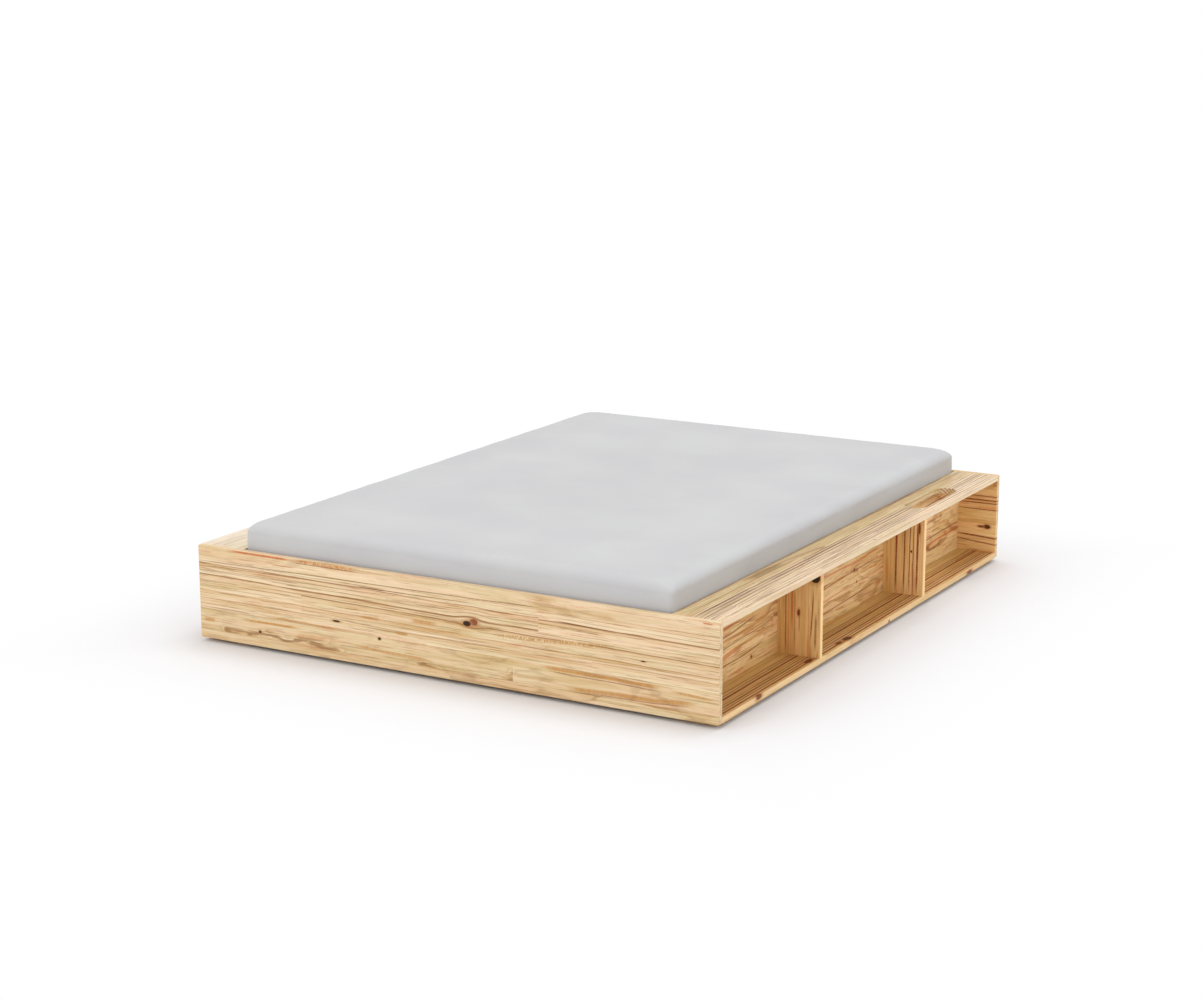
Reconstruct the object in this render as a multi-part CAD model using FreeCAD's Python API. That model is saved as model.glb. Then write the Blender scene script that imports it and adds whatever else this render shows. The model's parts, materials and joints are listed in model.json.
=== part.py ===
# Low storage bed of solid pine, with an open shelf unit down each long side, a foot board and a
# head board across the ends, a roll-out slatted base and a sunk-in mattress.
#
# Frame of the model: +X to the sleeper's right, +Y towards the head board, +Z up, floor at Z = 0,
# origin in the middle of the bed. All sizes are millimetres.

import FreeCAD, Part

import math
import os

from FreeCAD import Matrix, Placement, Vector

# ---------------------------------------------------------------- driving dimensions

# mattress
MATTRESS_LENGTH = 2000.0
MATTRESS_WIDTH = 1400.0
MATTRESS_THICKNESS = 160.0
MATTRESS_PROUD = 80.0            # how far the mattress stands above the boards
MATTRESS_CORNER = 16.0           # radius of its upright corners, halfway up
MATTRESS_SOFT_CORNER = 42.0      # radius that they grow to, above and below
MATTRESS_TOP_EDGE = 34.0
MATTRESS_BOTTOM_EDGE = 12.0
MATTRESS_CROWN = 2.0             # how far the top falls from its middle to its edges
MATTRESS_WAIST = 2.0             # how far the sides draw in above and below their middle
COVER_THICKNESS = 3.0

# bed frame
BOARD = 18.0                     # thickness of every glued-up pine board
FRAME_HEIGHT = 280.0             # height of the foot and head boards
FLOOR_GAP = 12.0                 # height of the glides
UNIT_DEPTH = 152.0               # a side shelf unit, from its open front to the mattress well
MIDDLE_BAY = 748.0               # clear length of the middle compartment
WELL_SIDE_GAP = 2.0              # mattress to side unit
WELL_END_GAP = 7.0               # mattress to foot or head board
END_CORNER = 5.0                 # rounded corners of the foot and head boards
EASED_EDGE = 1.5                 # small round on the edges that a hand meets

# slot through each top board
SLOT_LENGTH = 312.0
SLOT_WIDTH = 75.0
SLOT_EDGE_MARGIN = 33.0          # wood between the slot and the open front
SLOT_FROM_DIVIDER = 48.0

# what carries the mattress
BATTEN_WIDTH = 30.0
BATTEN_HEIGHT = 40.0
SLAT_COUNT = 14
SLAT_WIDTH = 80.0
SLAT_THICKNESS = 18.0
SLAT_SIDE_GAP = 4.0              # slat end to side unit
SLAT_END_MARGIN = 22.0           # first slat to foot board, last slat to head board
BEAM_WIDTH = 45.0
BEAM_HEIGHT = 70.0
BEAM_END_GAP = 1.0
LEG_COUNT = 2
LEG_WIDTH = 45.0
LEG_SPACING = 680.0
REST_GAP = 0.3                   # between what is lifted out and what it lies on

# webbing that holds the slats in a roll
STRAP_WIDTH = 40.0
STRAP_THICKNESS = 1.5
STRAP_INSET = 100.0              # strap's middle to the side unit
STAPLE_CROWN = 12.0
STAPLE_LEG = 10.0
STAPLE_WIRE = 0.9

# beam hanger, bent from sheet steel
HANGER_SHEET = 2.0
HANGER_DEPTH = 40.0
HANGER_FLANGE = 22.0
HANGER_CHEEK = 55.0              # how far its cheeks reach up the beam

# fasteners
FIT = 0.05                       # radial room between a fastener and its bore
DOWEL_RADIUS = 4.0
DOWEL_IN_FACE = 12.0             # depth in the board that is drilled in its face
DOWEL_IN_EDGE = 18.0             # depth in the board that is drilled in its edge
DOWEL_CHAMFER = 0.8
CAM_RADIUS = 7.5
CAM_DEPTH = 12.5
CAM_SETBACK = 34.0               # cam's middle to the joint
CAM_RECESS = 9.0                 # length of the cross recess that turns a cam
CAM_BOLT_THREAD = 11.0           # length screwed into the face of the joined board
CAM_BOLT_RADIUS = 3.0
CAM_BOLT_COLLAR_RADIUS = 3.7
CAM_BOLT_COLLAR_WIDTH = 2.0
CAM_BOLT_NECK_RADIUS = 2.0
CAM_BOLT_HEAD = 4.0              # length of the head that the cam grips
CAM_BOLT_BORE = 4.0
UNIT_SCREW_LENGTH = 50.0
UNIT_SCREW_RADIUS = 2.5
UNIT_SCREW_HEAD = 5.0
BATTEN_SCREW_COUNT = 7
BATTEN_SCREW_LENGTH = 40.0
BATTEN_SCREW_INSET = 60.0
BATTEN_SCREW_RADIUS = 2.0
BATTEN_SCREW_HEAD = 4.0
HANGER_SCREW_LENGTH = 16.0
HANGER_SCREW_RADIUS = 1.75
HANGER_SCREW_HEAD = 3.5
SCREW_TIP = 3.0                  # length of a screw's taper, in shank radii
SCREW_POINT = 0.25               # radius of a screw's point, in shank radii
SCREW_RECESS = 0.55              # reach of the cross recess, in head radii
RECESS_WIDTH = 1.0
RECESS_DEPTH = 1.5
STUD_RADIUS = 4.0
STUD_LENGTH = 70.0
GLIDE_RADIUS = 20.0
GLIDE_TOP_RADIUS = 17.0
GLIDE_END_INSET = 70.0           # first glide to the end board
GLIDE_FROM_DIVIDER = 60.0
GLIDE_SCREW_LENGTH = 22.0
GLIDE_SCREW_RADIUS = 2.0
GLIDE_SCREW_HEAD = 4.0
GLIDE_SCREW_SINK = 4.0           # screw head above the floor
EDGE_DOWEL_INSET = 30.0          # dowel to the long edges of a top or bottom board

# how finely the mattress's curved section is followed
BOTTOM_EDGE_STEPS = 4
TOP_EDGE_STEPS = 6
CROWN_SHARES = (0.1, 0.25, 0.5, 0.8)  # shares of the way from the side to the middle

CLOSE = 0.01                     # two places this near are the same place

# ---------------------------------------------------------------- sizes that follow

WELL_WIDTH = MATTRESS_WIDTH + 2 * WELL_SIDE_GAP
WELL_LENGTH = MATTRESS_LENGTH + 2 * WELL_END_GAP
BED_WIDTH = WELL_WIDTH + 2 * UNIT_DEPTH
BED_LENGTH = WELL_LENGTH + 2 * BOARD

WELL_X = WELL_WIDTH / 2                      # inner face of the right-hand back panel
PANEL_X = WELL_X + BOARD                     # its face in the compartments
PANEL_MIDDLE_X = WELL_X + BOARD / 2
FRONT_X = BED_WIDTH / 2                      # open front of the right-hand unit
SHELF_MIDDLE_X = (WELL_X + FRONT_X) / 2
WELL_Y = WELL_LENGTH / 2                     # inner face of the head board
END_Y = BED_LENGTH / 2

UNDERSIDE = FLOOR_GAP
FRAME_TOP = FLOOR_GAP + FRAME_HEIGHT
SHELF_FLOOR = UNDERSIDE + BOARD              # top face of the bottom board
SHELF_CEILING = FRAME_TOP - BOARD            # underside of the top board

MATTRESS_TOP = FRAME_TOP + MATTRESS_PROUD
MATTRESS_BOTTOM = MATTRESS_TOP - MATTRESS_THICKNESS
SLAT_TOP = MATTRESS_BOTTOM - REST_GAP
SLAT_BOTTOM = SLAT_TOP - SLAT_THICKNESS
BEARER_TOP = SLAT_BOTTOM - REST_GAP          # top of the battens and of the centre beam
BATTEN_BOTTOM = BEARER_TOP - BATTEN_HEIGHT
BEAM_BOTTOM = BEARER_TOP - BEAM_HEIGHT
HANGER_BOTTOM = BEAM_BOTTOM - HANGER_SHEET

DIVIDER_Y = (MIDDLE_BAY + BOARD) / 2         # middle of the divider towards the head
END_BAY = WELL_Y - DIVIDER_Y - BOARD / 2
BAY_CENTRES = (-WELL_Y + END_BAY / 2, 0.0, WELL_Y - END_BAY / 2)

# heights on the back panel that stay clear of the batten on its other side
BELOW_BATTEN = (SHELF_FLOOR + BATTEN_BOTTOM) / 2
ABOVE_BATTEN = (BEARER_TOP + SHELF_CEILING) / 2
BATTEN_MIDDLE = BEARER_TOP - BATTEN_HEIGHT / 2

ALONG_X = Vector(1, 0, 0)
ALONG_Y = Vector(0, 1, 0)
UPWARDS = Vector(0, 0, 1)

# ---------------------------------------------------------------- helpers


def block(x_range, y_range, z_range):
    """A box between three pairs of limits."""
    low = Vector(x_range[0], y_range[0], z_range[0])
    return Part.makeBox(x_range[1] - x_range[0], y_range[1] - y_range[0], z_range[1] - z_range[0], low)


def spread(start, end, count):
    """Evenly spaced places from start to end, both included."""
    return [start + (end - start) * step / (count - 1) for step in range(count)]


def mirrored(shape):
    """The same shape on the other side of the bed."""
    return shape.mirror(Vector(0, 0, 0), ALONG_X)


def both_sides(shapes):
    """Right-hand shapes with their left-hand twins."""
    return shapes + [mirrored(shape) for shape in shapes]


def ends_only(places):
    """Y places near the head board with their twins near the foot board."""
    return [-place for place in places] + list(places)


def pointing(point, along, facing):
    """Placement that lays the local X axis along one direction and the local Z axis along another."""
    side = facing.cross(along)
    turn = Matrix(along.x, side.x, facing.x, point.x,
                  along.y, side.y, facing.y, point.y,
                  along.z, side.z, facing.z, point.z,
                  0, 0, 0, 1)
    return Placement(turn)


def copies(shape, placements):
    """One copy of a shape at each placement."""
    made = []
    for placement in placements:
        twin = shape.copy()
        twin.Placement = placement
        made.append(twin)
    return made


def drilled(board, bores):
    """A board less every bore that reaches it."""
    reaching = [bore for bore in bores if bore.BoundBox.intersect(board.BoundBox)]
    return board.cut(reaching) if reaching else board


def turned_piece(profile):
    """A solid of revolution about the local X axis, from (distance along, radius) pairs."""
    points = [Vector(along, 0, radius) for along, radius in profile]
    points += [Vector(profile[-1][0], 0, 0), Vector(profile[0][0], 0, 0), points[0]]
    return Part.Face(Part.makePolygon(points)).revolve(Vector(0, 0, 0), ALONG_X, 360)


def edges_along(shape, direction, at):
    """Straight edges that run in one direction and whose middle passes a test."""
    found = []
    for edge in shape.Edges:
        first, last = edge.Vertexes[0].Point, edge.Vertexes[-1].Point
        run = last - first
        if run.Length > CLOSE and run.cross(direction).Length < CLOSE and at((first + last) * 0.5):
            found.append(edge)
    return found


def near(value, target):
    """Whether two coordinates are the same place."""
    return abs(value - target) < CLOSE


# ---------------------------------------------------------------- fasteners, lying along local X


def dowel():
    """Wooden dowel across a joint, chamfered at both ends."""
    return turned_piece([
        (-DOWEL_IN_FACE + FIT, DOWEL_RADIUS - DOWEL_CHAMFER),
        (-DOWEL_IN_FACE + FIT + DOWEL_CHAMFER, DOWEL_RADIUS),
        (DOWEL_IN_EDGE - FIT - DOWEL_CHAMFER, DOWEL_RADIUS),
        (DOWEL_IN_EDGE - FIT, DOWEL_RADIUS - DOWEL_CHAMFER)])


def dowel_bore():
    """Room for a dowel in both boards of a joint."""
    return turned_piece([(-DOWEL_IN_FACE, DOWEL_RADIUS + FIT), (DOWEL_IN_EDGE, DOWEL_RADIUS + FIT)])


def cam_bolt():
    """Threaded into the face of one board, its head caught by the cam in the other."""
    neck_start = CAM_SETBACK - CAM_RADIUS
    head_start = CAM_SETBACK - CAM_BOLT_HEAD / 2
    return turned_piece([
        (-CAM_BOLT_THREAD + FIT, CAM_BOLT_RADIUS),
        (0, CAM_BOLT_RADIUS),
        (0, CAM_BOLT_COLLAR_RADIUS),
        (CAM_BOLT_COLLAR_WIDTH, CAM_BOLT_COLLAR_RADIUS),
        (CAM_BOLT_COLLAR_WIDTH, CAM_BOLT_RADIUS),
        (neck_start, CAM_BOLT_RADIUS),
        (neck_start, CAM_BOLT_NECK_RADIUS),
        (head_start, CAM_BOLT_NECK_RADIUS),
        (head_start, CAM_BOLT_RADIUS),
        (head_start + CAM_BOLT_HEAD, CAM_BOLT_RADIUS)])


def cam_cylinder(radius, depth):
    """Cylinder of a cam, sunk into the board's face on the local +Z side."""
    return Part.makeCylinder(radius, depth, Vector(CAM_SETBACK, 0, BOARD / 2 - depth), UPWARDS)


def cam_disc():
    """Eccentric lock: a disc with a mouth for the bolt's head and a cross recess to turn it."""
    mouth = Part.makeCylinder(CAM_BOLT_BORE, CAM_SETBACK + CAM_BOLT_BORE, Vector(0, 0, 0), ALONG_X)
    disc = cam_cylinder(CAM_RADIUS, CAM_DEPTH - FIT).cut(mouth)
    half = CAM_RECESS / 2
    face = BOARD / 2
    bars = [block((CAM_SETBACK - half, CAM_SETBACK + half), (-RECESS_WIDTH, RECESS_WIDTH),
                  (face - RECESS_DEPTH, face)),
            block((CAM_SETBACK - RECESS_WIDTH, CAM_SETBACK + RECESS_WIDTH), (-half, half),
                  (face - RECESS_DEPTH, face))]
    return disc.cut(bars)


def cam_bores():
    """Room for the bolt and for the cam."""
    bolt = turned_piece([
        (-CAM_BOLT_THREAD, CAM_BOLT_RADIUS + FIT),
        (0, CAM_BOLT_RADIUS + FIT),
        (0, CAM_BOLT_BORE),
        (CAM_SETBACK, CAM_BOLT_BORE)])
    return bolt.fuse(cam_cylinder(CAM_RADIUS + FIT, CAM_DEPTH))


def wood_screw(length, radius, head_radius):
    """Countersunk screw: its head is flush with the local origin and it is driven along +X."""
    cone = head_radius - radius
    body = turned_piece([
        (0, head_radius),
        (cone, radius),
        (length - SCREW_TIP * radius, radius),
        (length - FIT, SCREW_POINT * radius)])
    half = SCREW_RECESS * head_radius
    bars = [block((0, RECESS_DEPTH), (-half, half), (-RECESS_WIDTH / 2, RECESS_WIDTH / 2)),
            block((0, RECESS_DEPTH), (-RECESS_WIDTH / 2, RECESS_WIDTH / 2), (-half, half))]
    return body.cut(bars)


def screw_bore(length, radius, head_radius):
    """Room for a countersunk screw, open at its head."""
    cone = head_radius - radius
    return turned_piece([(0, head_radius + FIT), (cone, radius + FIT), (length, radius + FIT)])


def stud():
    """Threaded rod that is half in the leg and half in the beam."""
    return Part.makeCylinder(STUD_RADIUS, STUD_LENGTH, Vector(-STUD_LENGTH / 2, 0, 0), ALONG_X)


def stud_bore():
    """Room for a stud in both pieces."""
    length = STUD_LENGTH + 2 * FIT
    return Part.makeCylinder(STUD_RADIUS + FIT, length, Vector(-length / 2, 0, 0), ALONG_X)


# ---------------------------------------------------------------- where the fasteners go


def divider_fastener_x():
    """The two places along a divider's depth that hold a dowel above and a screw below."""
    quarter = (FRONT_X - PANEL_X) / 4
    return (PANEL_X + quarter, FRONT_X - quarter)


def back_panel_y():
    """Places along the back panel between the bay's middle and its ends."""
    places = []
    for centre, bay in zip(BAY_CENTRES, (END_BAY, MIDDLE_BAY, END_BAY)):
        places += [centre - bay / 4, centre + bay / 4]
    return places


def dowel_places():
    """Dowels of the right-hand unit: local X runs from the face-drilled board into an edge."""
    places = []
    for y in back_panel_y():
        places.append(pointing(Vector(PANEL_MIDDLE_X, y, SHELF_CEILING), -UPWARDS, ALONG_X))
    for divider_y in ends_only([DIVIDER_Y]):
        for x in divider_fastener_x():
            places.append(pointing(Vector(x, divider_y, SHELF_CEILING), -UPWARDS, ALONG_X))
    for end in (-1, 1):
        inwards = ALONG_Y * -end
        for x in (WELL_X + EDGE_DOWEL_INSET, FRONT_X - EDGE_DOWEL_INSET):
            for z in (UNDERSIDE + BOARD / 2, FRAME_TOP - BOARD / 2):
                places.append(pointing(Vector(x, end * WELL_Y, z), inwards, UPWARDS))
        places.append(pointing(Vector(PANEL_MIDDLE_X, end * WELL_Y, BATTEN_MIDDLE), inwards, UPWARDS))
    return places


def cam_places():
    """Cams of the right-hand unit: local X runs from the joint, local Z faces out of the board."""
    places = []
    for y in BAY_CENTRES:
        places.append(pointing(Vector(PANEL_MIDDLE_X, y, SHELF_CEILING), -UPWARDS, -ALONG_X))
    for end in (-1, 1):
        inwards = ALONG_Y * -end
        for z in (BELOW_BATTEN, ABOVE_BATTEN):
            places.append(pointing(Vector(PANEL_MIDDLE_X, end * WELL_Y, z), inwards, -ALONG_X))
        for z in (UNDERSIDE + BOARD / 2, FRAME_TOP - BOARD / 2):
            places.append(pointing(Vector(SHELF_MIDDLE_X, end * WELL_Y, z), inwards, -UPWARDS))
    return places


def unit_screw_places():
    """Screws up through the bottom board, and from the well through the back panel."""
    places = []
    for y in back_panel_y():
        places.append(pointing(Vector(PANEL_MIDDLE_X, y, UNDERSIDE), UPWARDS, ALONG_X))
    for divider_y in ends_only([DIVIDER_Y]):
        for x in divider_fastener_x():
            places.append(pointing(Vector(x, divider_y, UNDERSIDE), UPWARDS, ALONG_X))
        for z in (BELOW_BATTEN, ABOVE_BATTEN):
            places.append(pointing(Vector(WELL_X, divider_y, z), ALONG_X, UPWARDS))
    return places


def batten_screw_places():
    """Screws through the right-hand batten into the back panel."""
    reach = WELL_Y - BATTEN_SCREW_INSET
    inner_face = WELL_X - BATTEN_WIDTH
    return [pointing(Vector(inner_face, y, BATTEN_MIDDLE), ALONG_X, UPWARDS)
            for y in spread(-reach, reach, BATTEN_SCREW_COUNT)]


def hanger_screw_places():
    """Four screws in each hanger, two in each flange."""
    x = BEAM_WIDTH / 2 + HANGER_SHEET + HANGER_FLANGE / 2
    middle = HANGER_BOTTOM + HANGER_CHEEK / 2
    places = []
    for end in (-1, 1):
        for flange in (-x, x):
            for z in (middle - HANGER_CHEEK / 4, middle + HANGER_CHEEK / 4):
                point = Vector(flange, end * (WELL_Y - HANGER_SHEET), z)
                places.append(pointing(point, ALONG_Y * end, UPWARDS))
    return places


def leg_y():
    """Places of the centre legs along the beam."""
    reach = LEG_SPACING * (LEG_COUNT - 1) / 2
    return spread(-reach, reach, LEG_COUNT)


def stud_places():
    """Studs between the legs and the beam."""
    return [pointing(Vector(0, y, BEAM_BOTTOM), UPWARDS, ALONG_X) for y in leg_y()]


def unit_glide_points():
    """Glides under the right-hand unit, from the foot end."""
    places = ends_only([DIVIDER_Y - GLIDE_FROM_DIVIDER, WELL_Y - GLIDE_END_INSET])
    return [Vector(SHELF_MIDDLE_X, y, 0) for y in sorted(places)]


def leg_glide_points():
    """Glides under the centre legs."""
    return [Vector(0, y, 0) for y in leg_y()]


def glide_screw_places(points):
    """Screws up through glides that stand at the given points."""
    return [pointing(point + UPWARDS * GLIDE_SCREW_SINK, UPWARDS, ALONG_X) for point in points]


# ---------------------------------------------------------------- boards


def end_board(outward, bores):
    """Foot board (outward -1) or head board (outward +1), with rounded corners."""
    inner, outer = sorted((outward * WELL_Y, outward * END_Y))
    board = block((-FRONT_X, FRONT_X), (inner, outer), (UNDERSIDE, FRAME_TOP))
    board = board.makeFillet(END_CORNER, edges_along(board, ALONG_Y, lambda middle: True))
    rim = [edge for edge in board.Edges
           if all(near(vertex.Point.y, outward * END_Y) for vertex in edge.Vertexes)]
    return drilled(board.makeFillet(EASED_EDGE, rim), bores)


def slot_cutter():
    """Round-ended slot over the compartment next to the head board, with an eased rim."""
    radius = SLOT_WIDTH / 2
    start = DIVIDER_Y + BOARD / 2 + SLOT_FROM_DIVIDER + radius
    end = start + SLOT_LENGTH - SLOT_WIDTH
    middle = FRONT_X - SLOT_EDGE_MARGIN - radius
    left, right = middle - radius, middle + radius
    outline = Part.Wire([
        Part.LineSegment(Vector(right, start, 0), Vector(right, end, 0)).toShape(),
        Part.Arc(Vector(right, end, 0), Vector(middle, end + radius, 0), Vector(left, end, 0)).toShape(),
        Part.LineSegment(Vector(left, end, 0), Vector(left, start, 0)).toShape(),
        Part.Arc(Vector(left, start, 0), Vector(middle, start - radius, 0),
                 Vector(right, start, 0)).toShape()])
    outline.translate(Vector(0, 0, SHELF_CEILING))
    return Part.Face(outline).extrude(UPWARDS * BOARD)


def slot_rim(board):
    """Edges of the slot on the board's top face."""
    box = slot_cutter().BoundBox
    return [edge for edge in board.Edges
            if edge.BoundBox.XMin > box.XMin - 1 and edge.BoundBox.XMax < box.XMax + 1
            and edge.BoundBox.YMin > box.YMin - 1 and edge.BoundBox.YMax < box.YMax + 1
            and near(edge.BoundBox.ZMin, FRAME_TOP) and near(edge.BoundBox.ZMax, FRAME_TOP)]


def long_board(z_range, bores):
    """Board of the right-hand unit that runs from end board to end board, eased along its front."""
    board = block((WELL_X, FRONT_X), (-WELL_Y, WELL_Y), z_range)
    front = edges_along(board, ALONG_Y, lambda middle: near(middle.x, FRONT_X))
    return drilled(board.makeFillet(EASED_EDGE, front), bores)


def top_board(bores):
    """Top board of the right-hand unit, with its slot."""
    board = long_board((SHELF_CEILING, FRAME_TOP), bores).cut(slot_cutter())
    return board.makeFillet(EASED_EDGE, slot_rim(board))


def bottom_board(bores):
    """Bottom board of the right-hand unit."""
    return long_board((UNDERSIDE, SHELF_FLOOR), bores)


def back_panel(bores):
    """Board between the right-hand compartments and the well."""
    panel = block((WELL_X, PANEL_X), (-WELL_Y, WELL_Y), (SHELF_FLOOR, SHELF_CEILING))
    return drilled(panel, bores)


def divider(middle_y, bores):
    """Upright board between two compartments, eased along its front."""
    board = block((PANEL_X, FRONT_X), (middle_y - BOARD / 2, middle_y + BOARD / 2),
                  (SHELF_FLOOR, SHELF_CEILING))
    front = edges_along(board, UPWARDS, lambda middle: near(middle.x, FRONT_X))
    return drilled(board.makeFillet(EASED_EDGE, front), bores)


# ---------------------------------------------------------------- what carries the mattress


def slat_batten(bores):
    """Batten in the well, on the right-hand back panel, that the slats lie on."""
    batten = block((WELL_X - BATTEN_WIDTH, WELL_X), (-WELL_Y, WELL_Y), (BATTEN_BOTTOM, BEARER_TOP))
    inner = edges_along(batten, ALONG_Y, lambda middle: near(middle.x, WELL_X - BATTEN_WIDTH))
    return drilled(batten.makeFillet(EASED_EDGE, inner), bores)


def centre_beam(bores):
    """Beam along the middle of the well, from hanger to hanger."""
    reach = WELL_Y - BEAM_END_GAP
    beam = block((-BEAM_WIDTH / 2, BEAM_WIDTH / 2), (-reach, reach), (BEAM_BOTTOM, BEARER_TOP))
    beam = beam.makeFillet(EASED_EDGE, edges_along(beam, ALONG_Y, lambda middle: True))
    return drilled(beam, bores)


def beam_hanger(outward, bores):
    """Steel stirrup on an end board: a seat and two cheeks round the beam, with a flange each side."""
    face = outward * WELL_Y
    cheek = BEAM_WIDTH / 2 + HANGER_SHEET
    top = HANGER_BOTTOM + HANGER_CHEEK
    depth = sorted((outward * (WELL_Y - HANGER_DEPTH), face))
    sheet = sorted((outward * (WELL_Y - HANGER_SHEET), face))
    channel = block((-cheek, cheek), depth, (HANGER_BOTTOM, top))
    room = block((-BEAM_WIDTH / 2, BEAM_WIDTH / 2), depth, (BEAM_BOTTOM, top))
    flanges = [block(sorted((side * cheek, side * (cheek + HANGER_FLANGE))), sheet, (HANGER_BOTTOM, top))
               for side in (-1, 1)]
    hanger = channel.cut(room).fuse(flanges).removeSplitter()
    return drilled(hanger, bores)


def centre_leg(y, bores):
    """Square leg under the beam."""
    half = LEG_WIDTH / 2
    leg = block((-half, half), (y - half, y + half), (FLOOR_GAP, BEAM_BOTTOM))
    leg = leg.makeFillet(EASED_EDGE, edges_along(leg, UPWARDS, lambda middle: True))
    return drilled(leg, bores)


def glide():
    """Round plastic foot with a screw hole up its middle, standing on the floor at the origin."""
    body = turned_piece([(0, GLIDE_RADIUS), (FLOOR_GAP / 2, GLIDE_RADIUS), (FLOOR_GAP, GLIDE_TOP_RADIUS)])
    sink = turned_piece([(0, GLIDE_SCREW_HEAD + FIT), (GLIDE_SCREW_SINK, GLIDE_SCREW_HEAD + FIT)])
    screw = screw_bore(GLIDE_SCREW_LENGTH, GLIDE_SCREW_RADIUS, GLIDE_SCREW_HEAD)
    screw.translate(ALONG_X * GLIDE_SCREW_SINK)
    return body.cut([sink, screw])


def slat_y():
    """Middles of the slats, from the foot end."""
    reach = WELL_Y - SLAT_END_MARGIN - SLAT_WIDTH / 2
    return spread(-reach, reach, SLAT_COUNT)


def strap_x():
    """Middles of the left and the right strap."""
    return (STRAP_INSET - WELL_X, WELL_X - STRAP_INSET)


def staple():
    """Wire staple in the local XZ plane, its crown along X and its legs up."""
    half = STAPLE_CROWN / 2
    depth = STAPLE_WIRE / 2
    outer = block((-half, half), (-depth, depth), (0, STAPLE_LEG))
    inner = block((-half + STAPLE_WIRE, half - STAPLE_WIRE), (-depth, depth), (STAPLE_WIRE, STAPLE_LEG))
    outer.translate(UPWARDS * -STAPLE_WIRE)
    inner.translate(UPWARDS * -STAPLE_WIRE)
    return outer.cut(inner)


def staple_legs():
    """Room for a staple's legs above its crown."""
    half = STAPLE_CROWN / 2
    depth = STAPLE_WIRE / 2
    top = STAPLE_LEG - STAPLE_WIRE
    return [block(sorted((side * half, side * (half - STAPLE_WIRE))), (-depth, depth), (0, top))
            for side in (-1, 1)]


def staple_points():
    """A staple under every slat on each strap."""
    underside = SLAT_BOTTOM - STRAP_THICKNESS
    return [Vector(x, y, underside) for x in strap_x() for y in slat_y()]


def at_points(shape, points):
    """One copy of a shape moved to each point."""
    made = []
    for point in points:
        twin = shape.copy()
        twin.translate(point)
        made.append(twin)
    return made


def slats(leg_rooms):
    """Slats from the foot end, eased along their top edges."""
    half = WELL_X - SLAT_SIDE_GAP
    made = []
    for y in slat_y():
        slat = block((-half, half), (y - SLAT_WIDTH / 2, y + SLAT_WIDTH / 2), (SLAT_BOTTOM, SLAT_TOP))
        upper = edges_along(slat, ALONG_X, lambda middle: near(middle.z, SLAT_TOP))
        made.append(drilled(slat.makeFillet(EASED_EDGE, upper), leg_rooms))
    return made


def strap(x, leg_rooms):
    """Webbing strap under all the slats."""
    reach = WELL_Y - SLAT_END_MARGIN
    webbing = block((x - STRAP_WIDTH / 2, x + STRAP_WIDTH / 2), (-reach, reach),
                    (SLAT_BOTTOM - STRAP_THICKNESS, SLAT_BOTTOM))
    return drilled(webbing, leg_rooms)


# ---------------------------------------------------------------- mattress


def rounded_rectangle(half_x, half_y, radius, z):
    """Closed outline of four lines and four quarter circles."""
    x, y = half_x - radius, half_y - radius
    slant = radius * math.sqrt(0.5)
    pieces = []
    for side_x, side_y in ((1, 1), (-1, 1), (-1, -1), (1, -1)):
        flank = Vector(side_x * half_x, side_y * y, z)
        end = Vector(side_x * x, side_y * half_y, z)
        middle = Vector(side_x * (x + slant), side_y * (y + slant), z)
        first, last = (flank, end) if side_x * side_y > 0 else (end, flank)
        pieces.append(Part.Arc(first, middle, last).toShape())
    wire = []
    for index, arc in enumerate(pieces):
        following = pieces[(index + 1) % len(pieces)]
        wire += [arc, Part.LineSegment(arc.lastVertex(True).Point,
                                       following.firstVertex(True).Point).toShape()]
    return Part.Wire(wire)


def cushion_profile(inset):
    """(draw-in, height) pairs up the side and over the crown of the mattress, inset all round."""
    bottom, top = MATTRESS_BOTTOM + inset, MATTRESS_TOP - inset
    shoulder = top - MATTRESS_CROWN
    low, high = MATTRESS_BOTTOM_EDGE - inset, MATTRESS_TOP_EDGE - inset
    middle, half = (bottom + shoulder) / 2, (shoulder - bottom) / 2
    profile = []
    for angle in spread(0, 90, BOTTOM_EDGE_STEPS):
        turn = math.radians(angle)
        profile.append((low * (1 - math.sin(turn)), bottom + low * (1 - math.cos(turn))))
    profile.append((0, middle))
    for angle in spread(0, 75, TOP_EDGE_STEPS):
        turn = math.radians(angle)
        profile.append((high * (1 - math.cos(turn)), shoulder - high * (1 - math.sin(turn))))
    profile = [(draw + MATTRESS_WAIST * ((z - middle) / half) ** 2, z) for draw, z in profile]
    reach = MATTRESS_WIDTH / 2
    for share in CROWN_SHARES:
        profile.append((share * reach, top - MATTRESS_CROWN * (1 - share) ** 2))
    return [(draw + inset, z) for draw, z in profile]


def cushion(inset):
    """Crowned mattress form, every face moved in by the inset."""
    outlines = []
    for draw, z in cushion_profile(inset):
        radius = min(MATTRESS_CORNER + draw - 2 * inset, MATTRESS_SOFT_CORNER - inset)
        half_x, half_y = MATTRESS_WIDTH / 2 - draw, MATTRESS_LENGTH / 2 - draw
        outlines.append(rounded_rectangle(half_x, half_y, radius, z))
    return Part.makeLoft(outlines, True, True)


def mattress_cover():
    """Cover, as a closed shell."""
    return cushion(0).cut(cushion(COVER_THICKNESS))


def mattress_core():
    """Foam block that lies loosely in its cover."""
    return cushion(COVER_THICKNESS + REST_GAP)


# ---------------------------------------------------------------- assembly


def export(name, shapes):
    """Write one sub-part; several solids become one group."""
    shape = shapes[0] if len(shapes) == 1 else Part.makeCompound(shapes)
    shape.exportStep(os.path.join("parts", name + ".step"))


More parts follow.
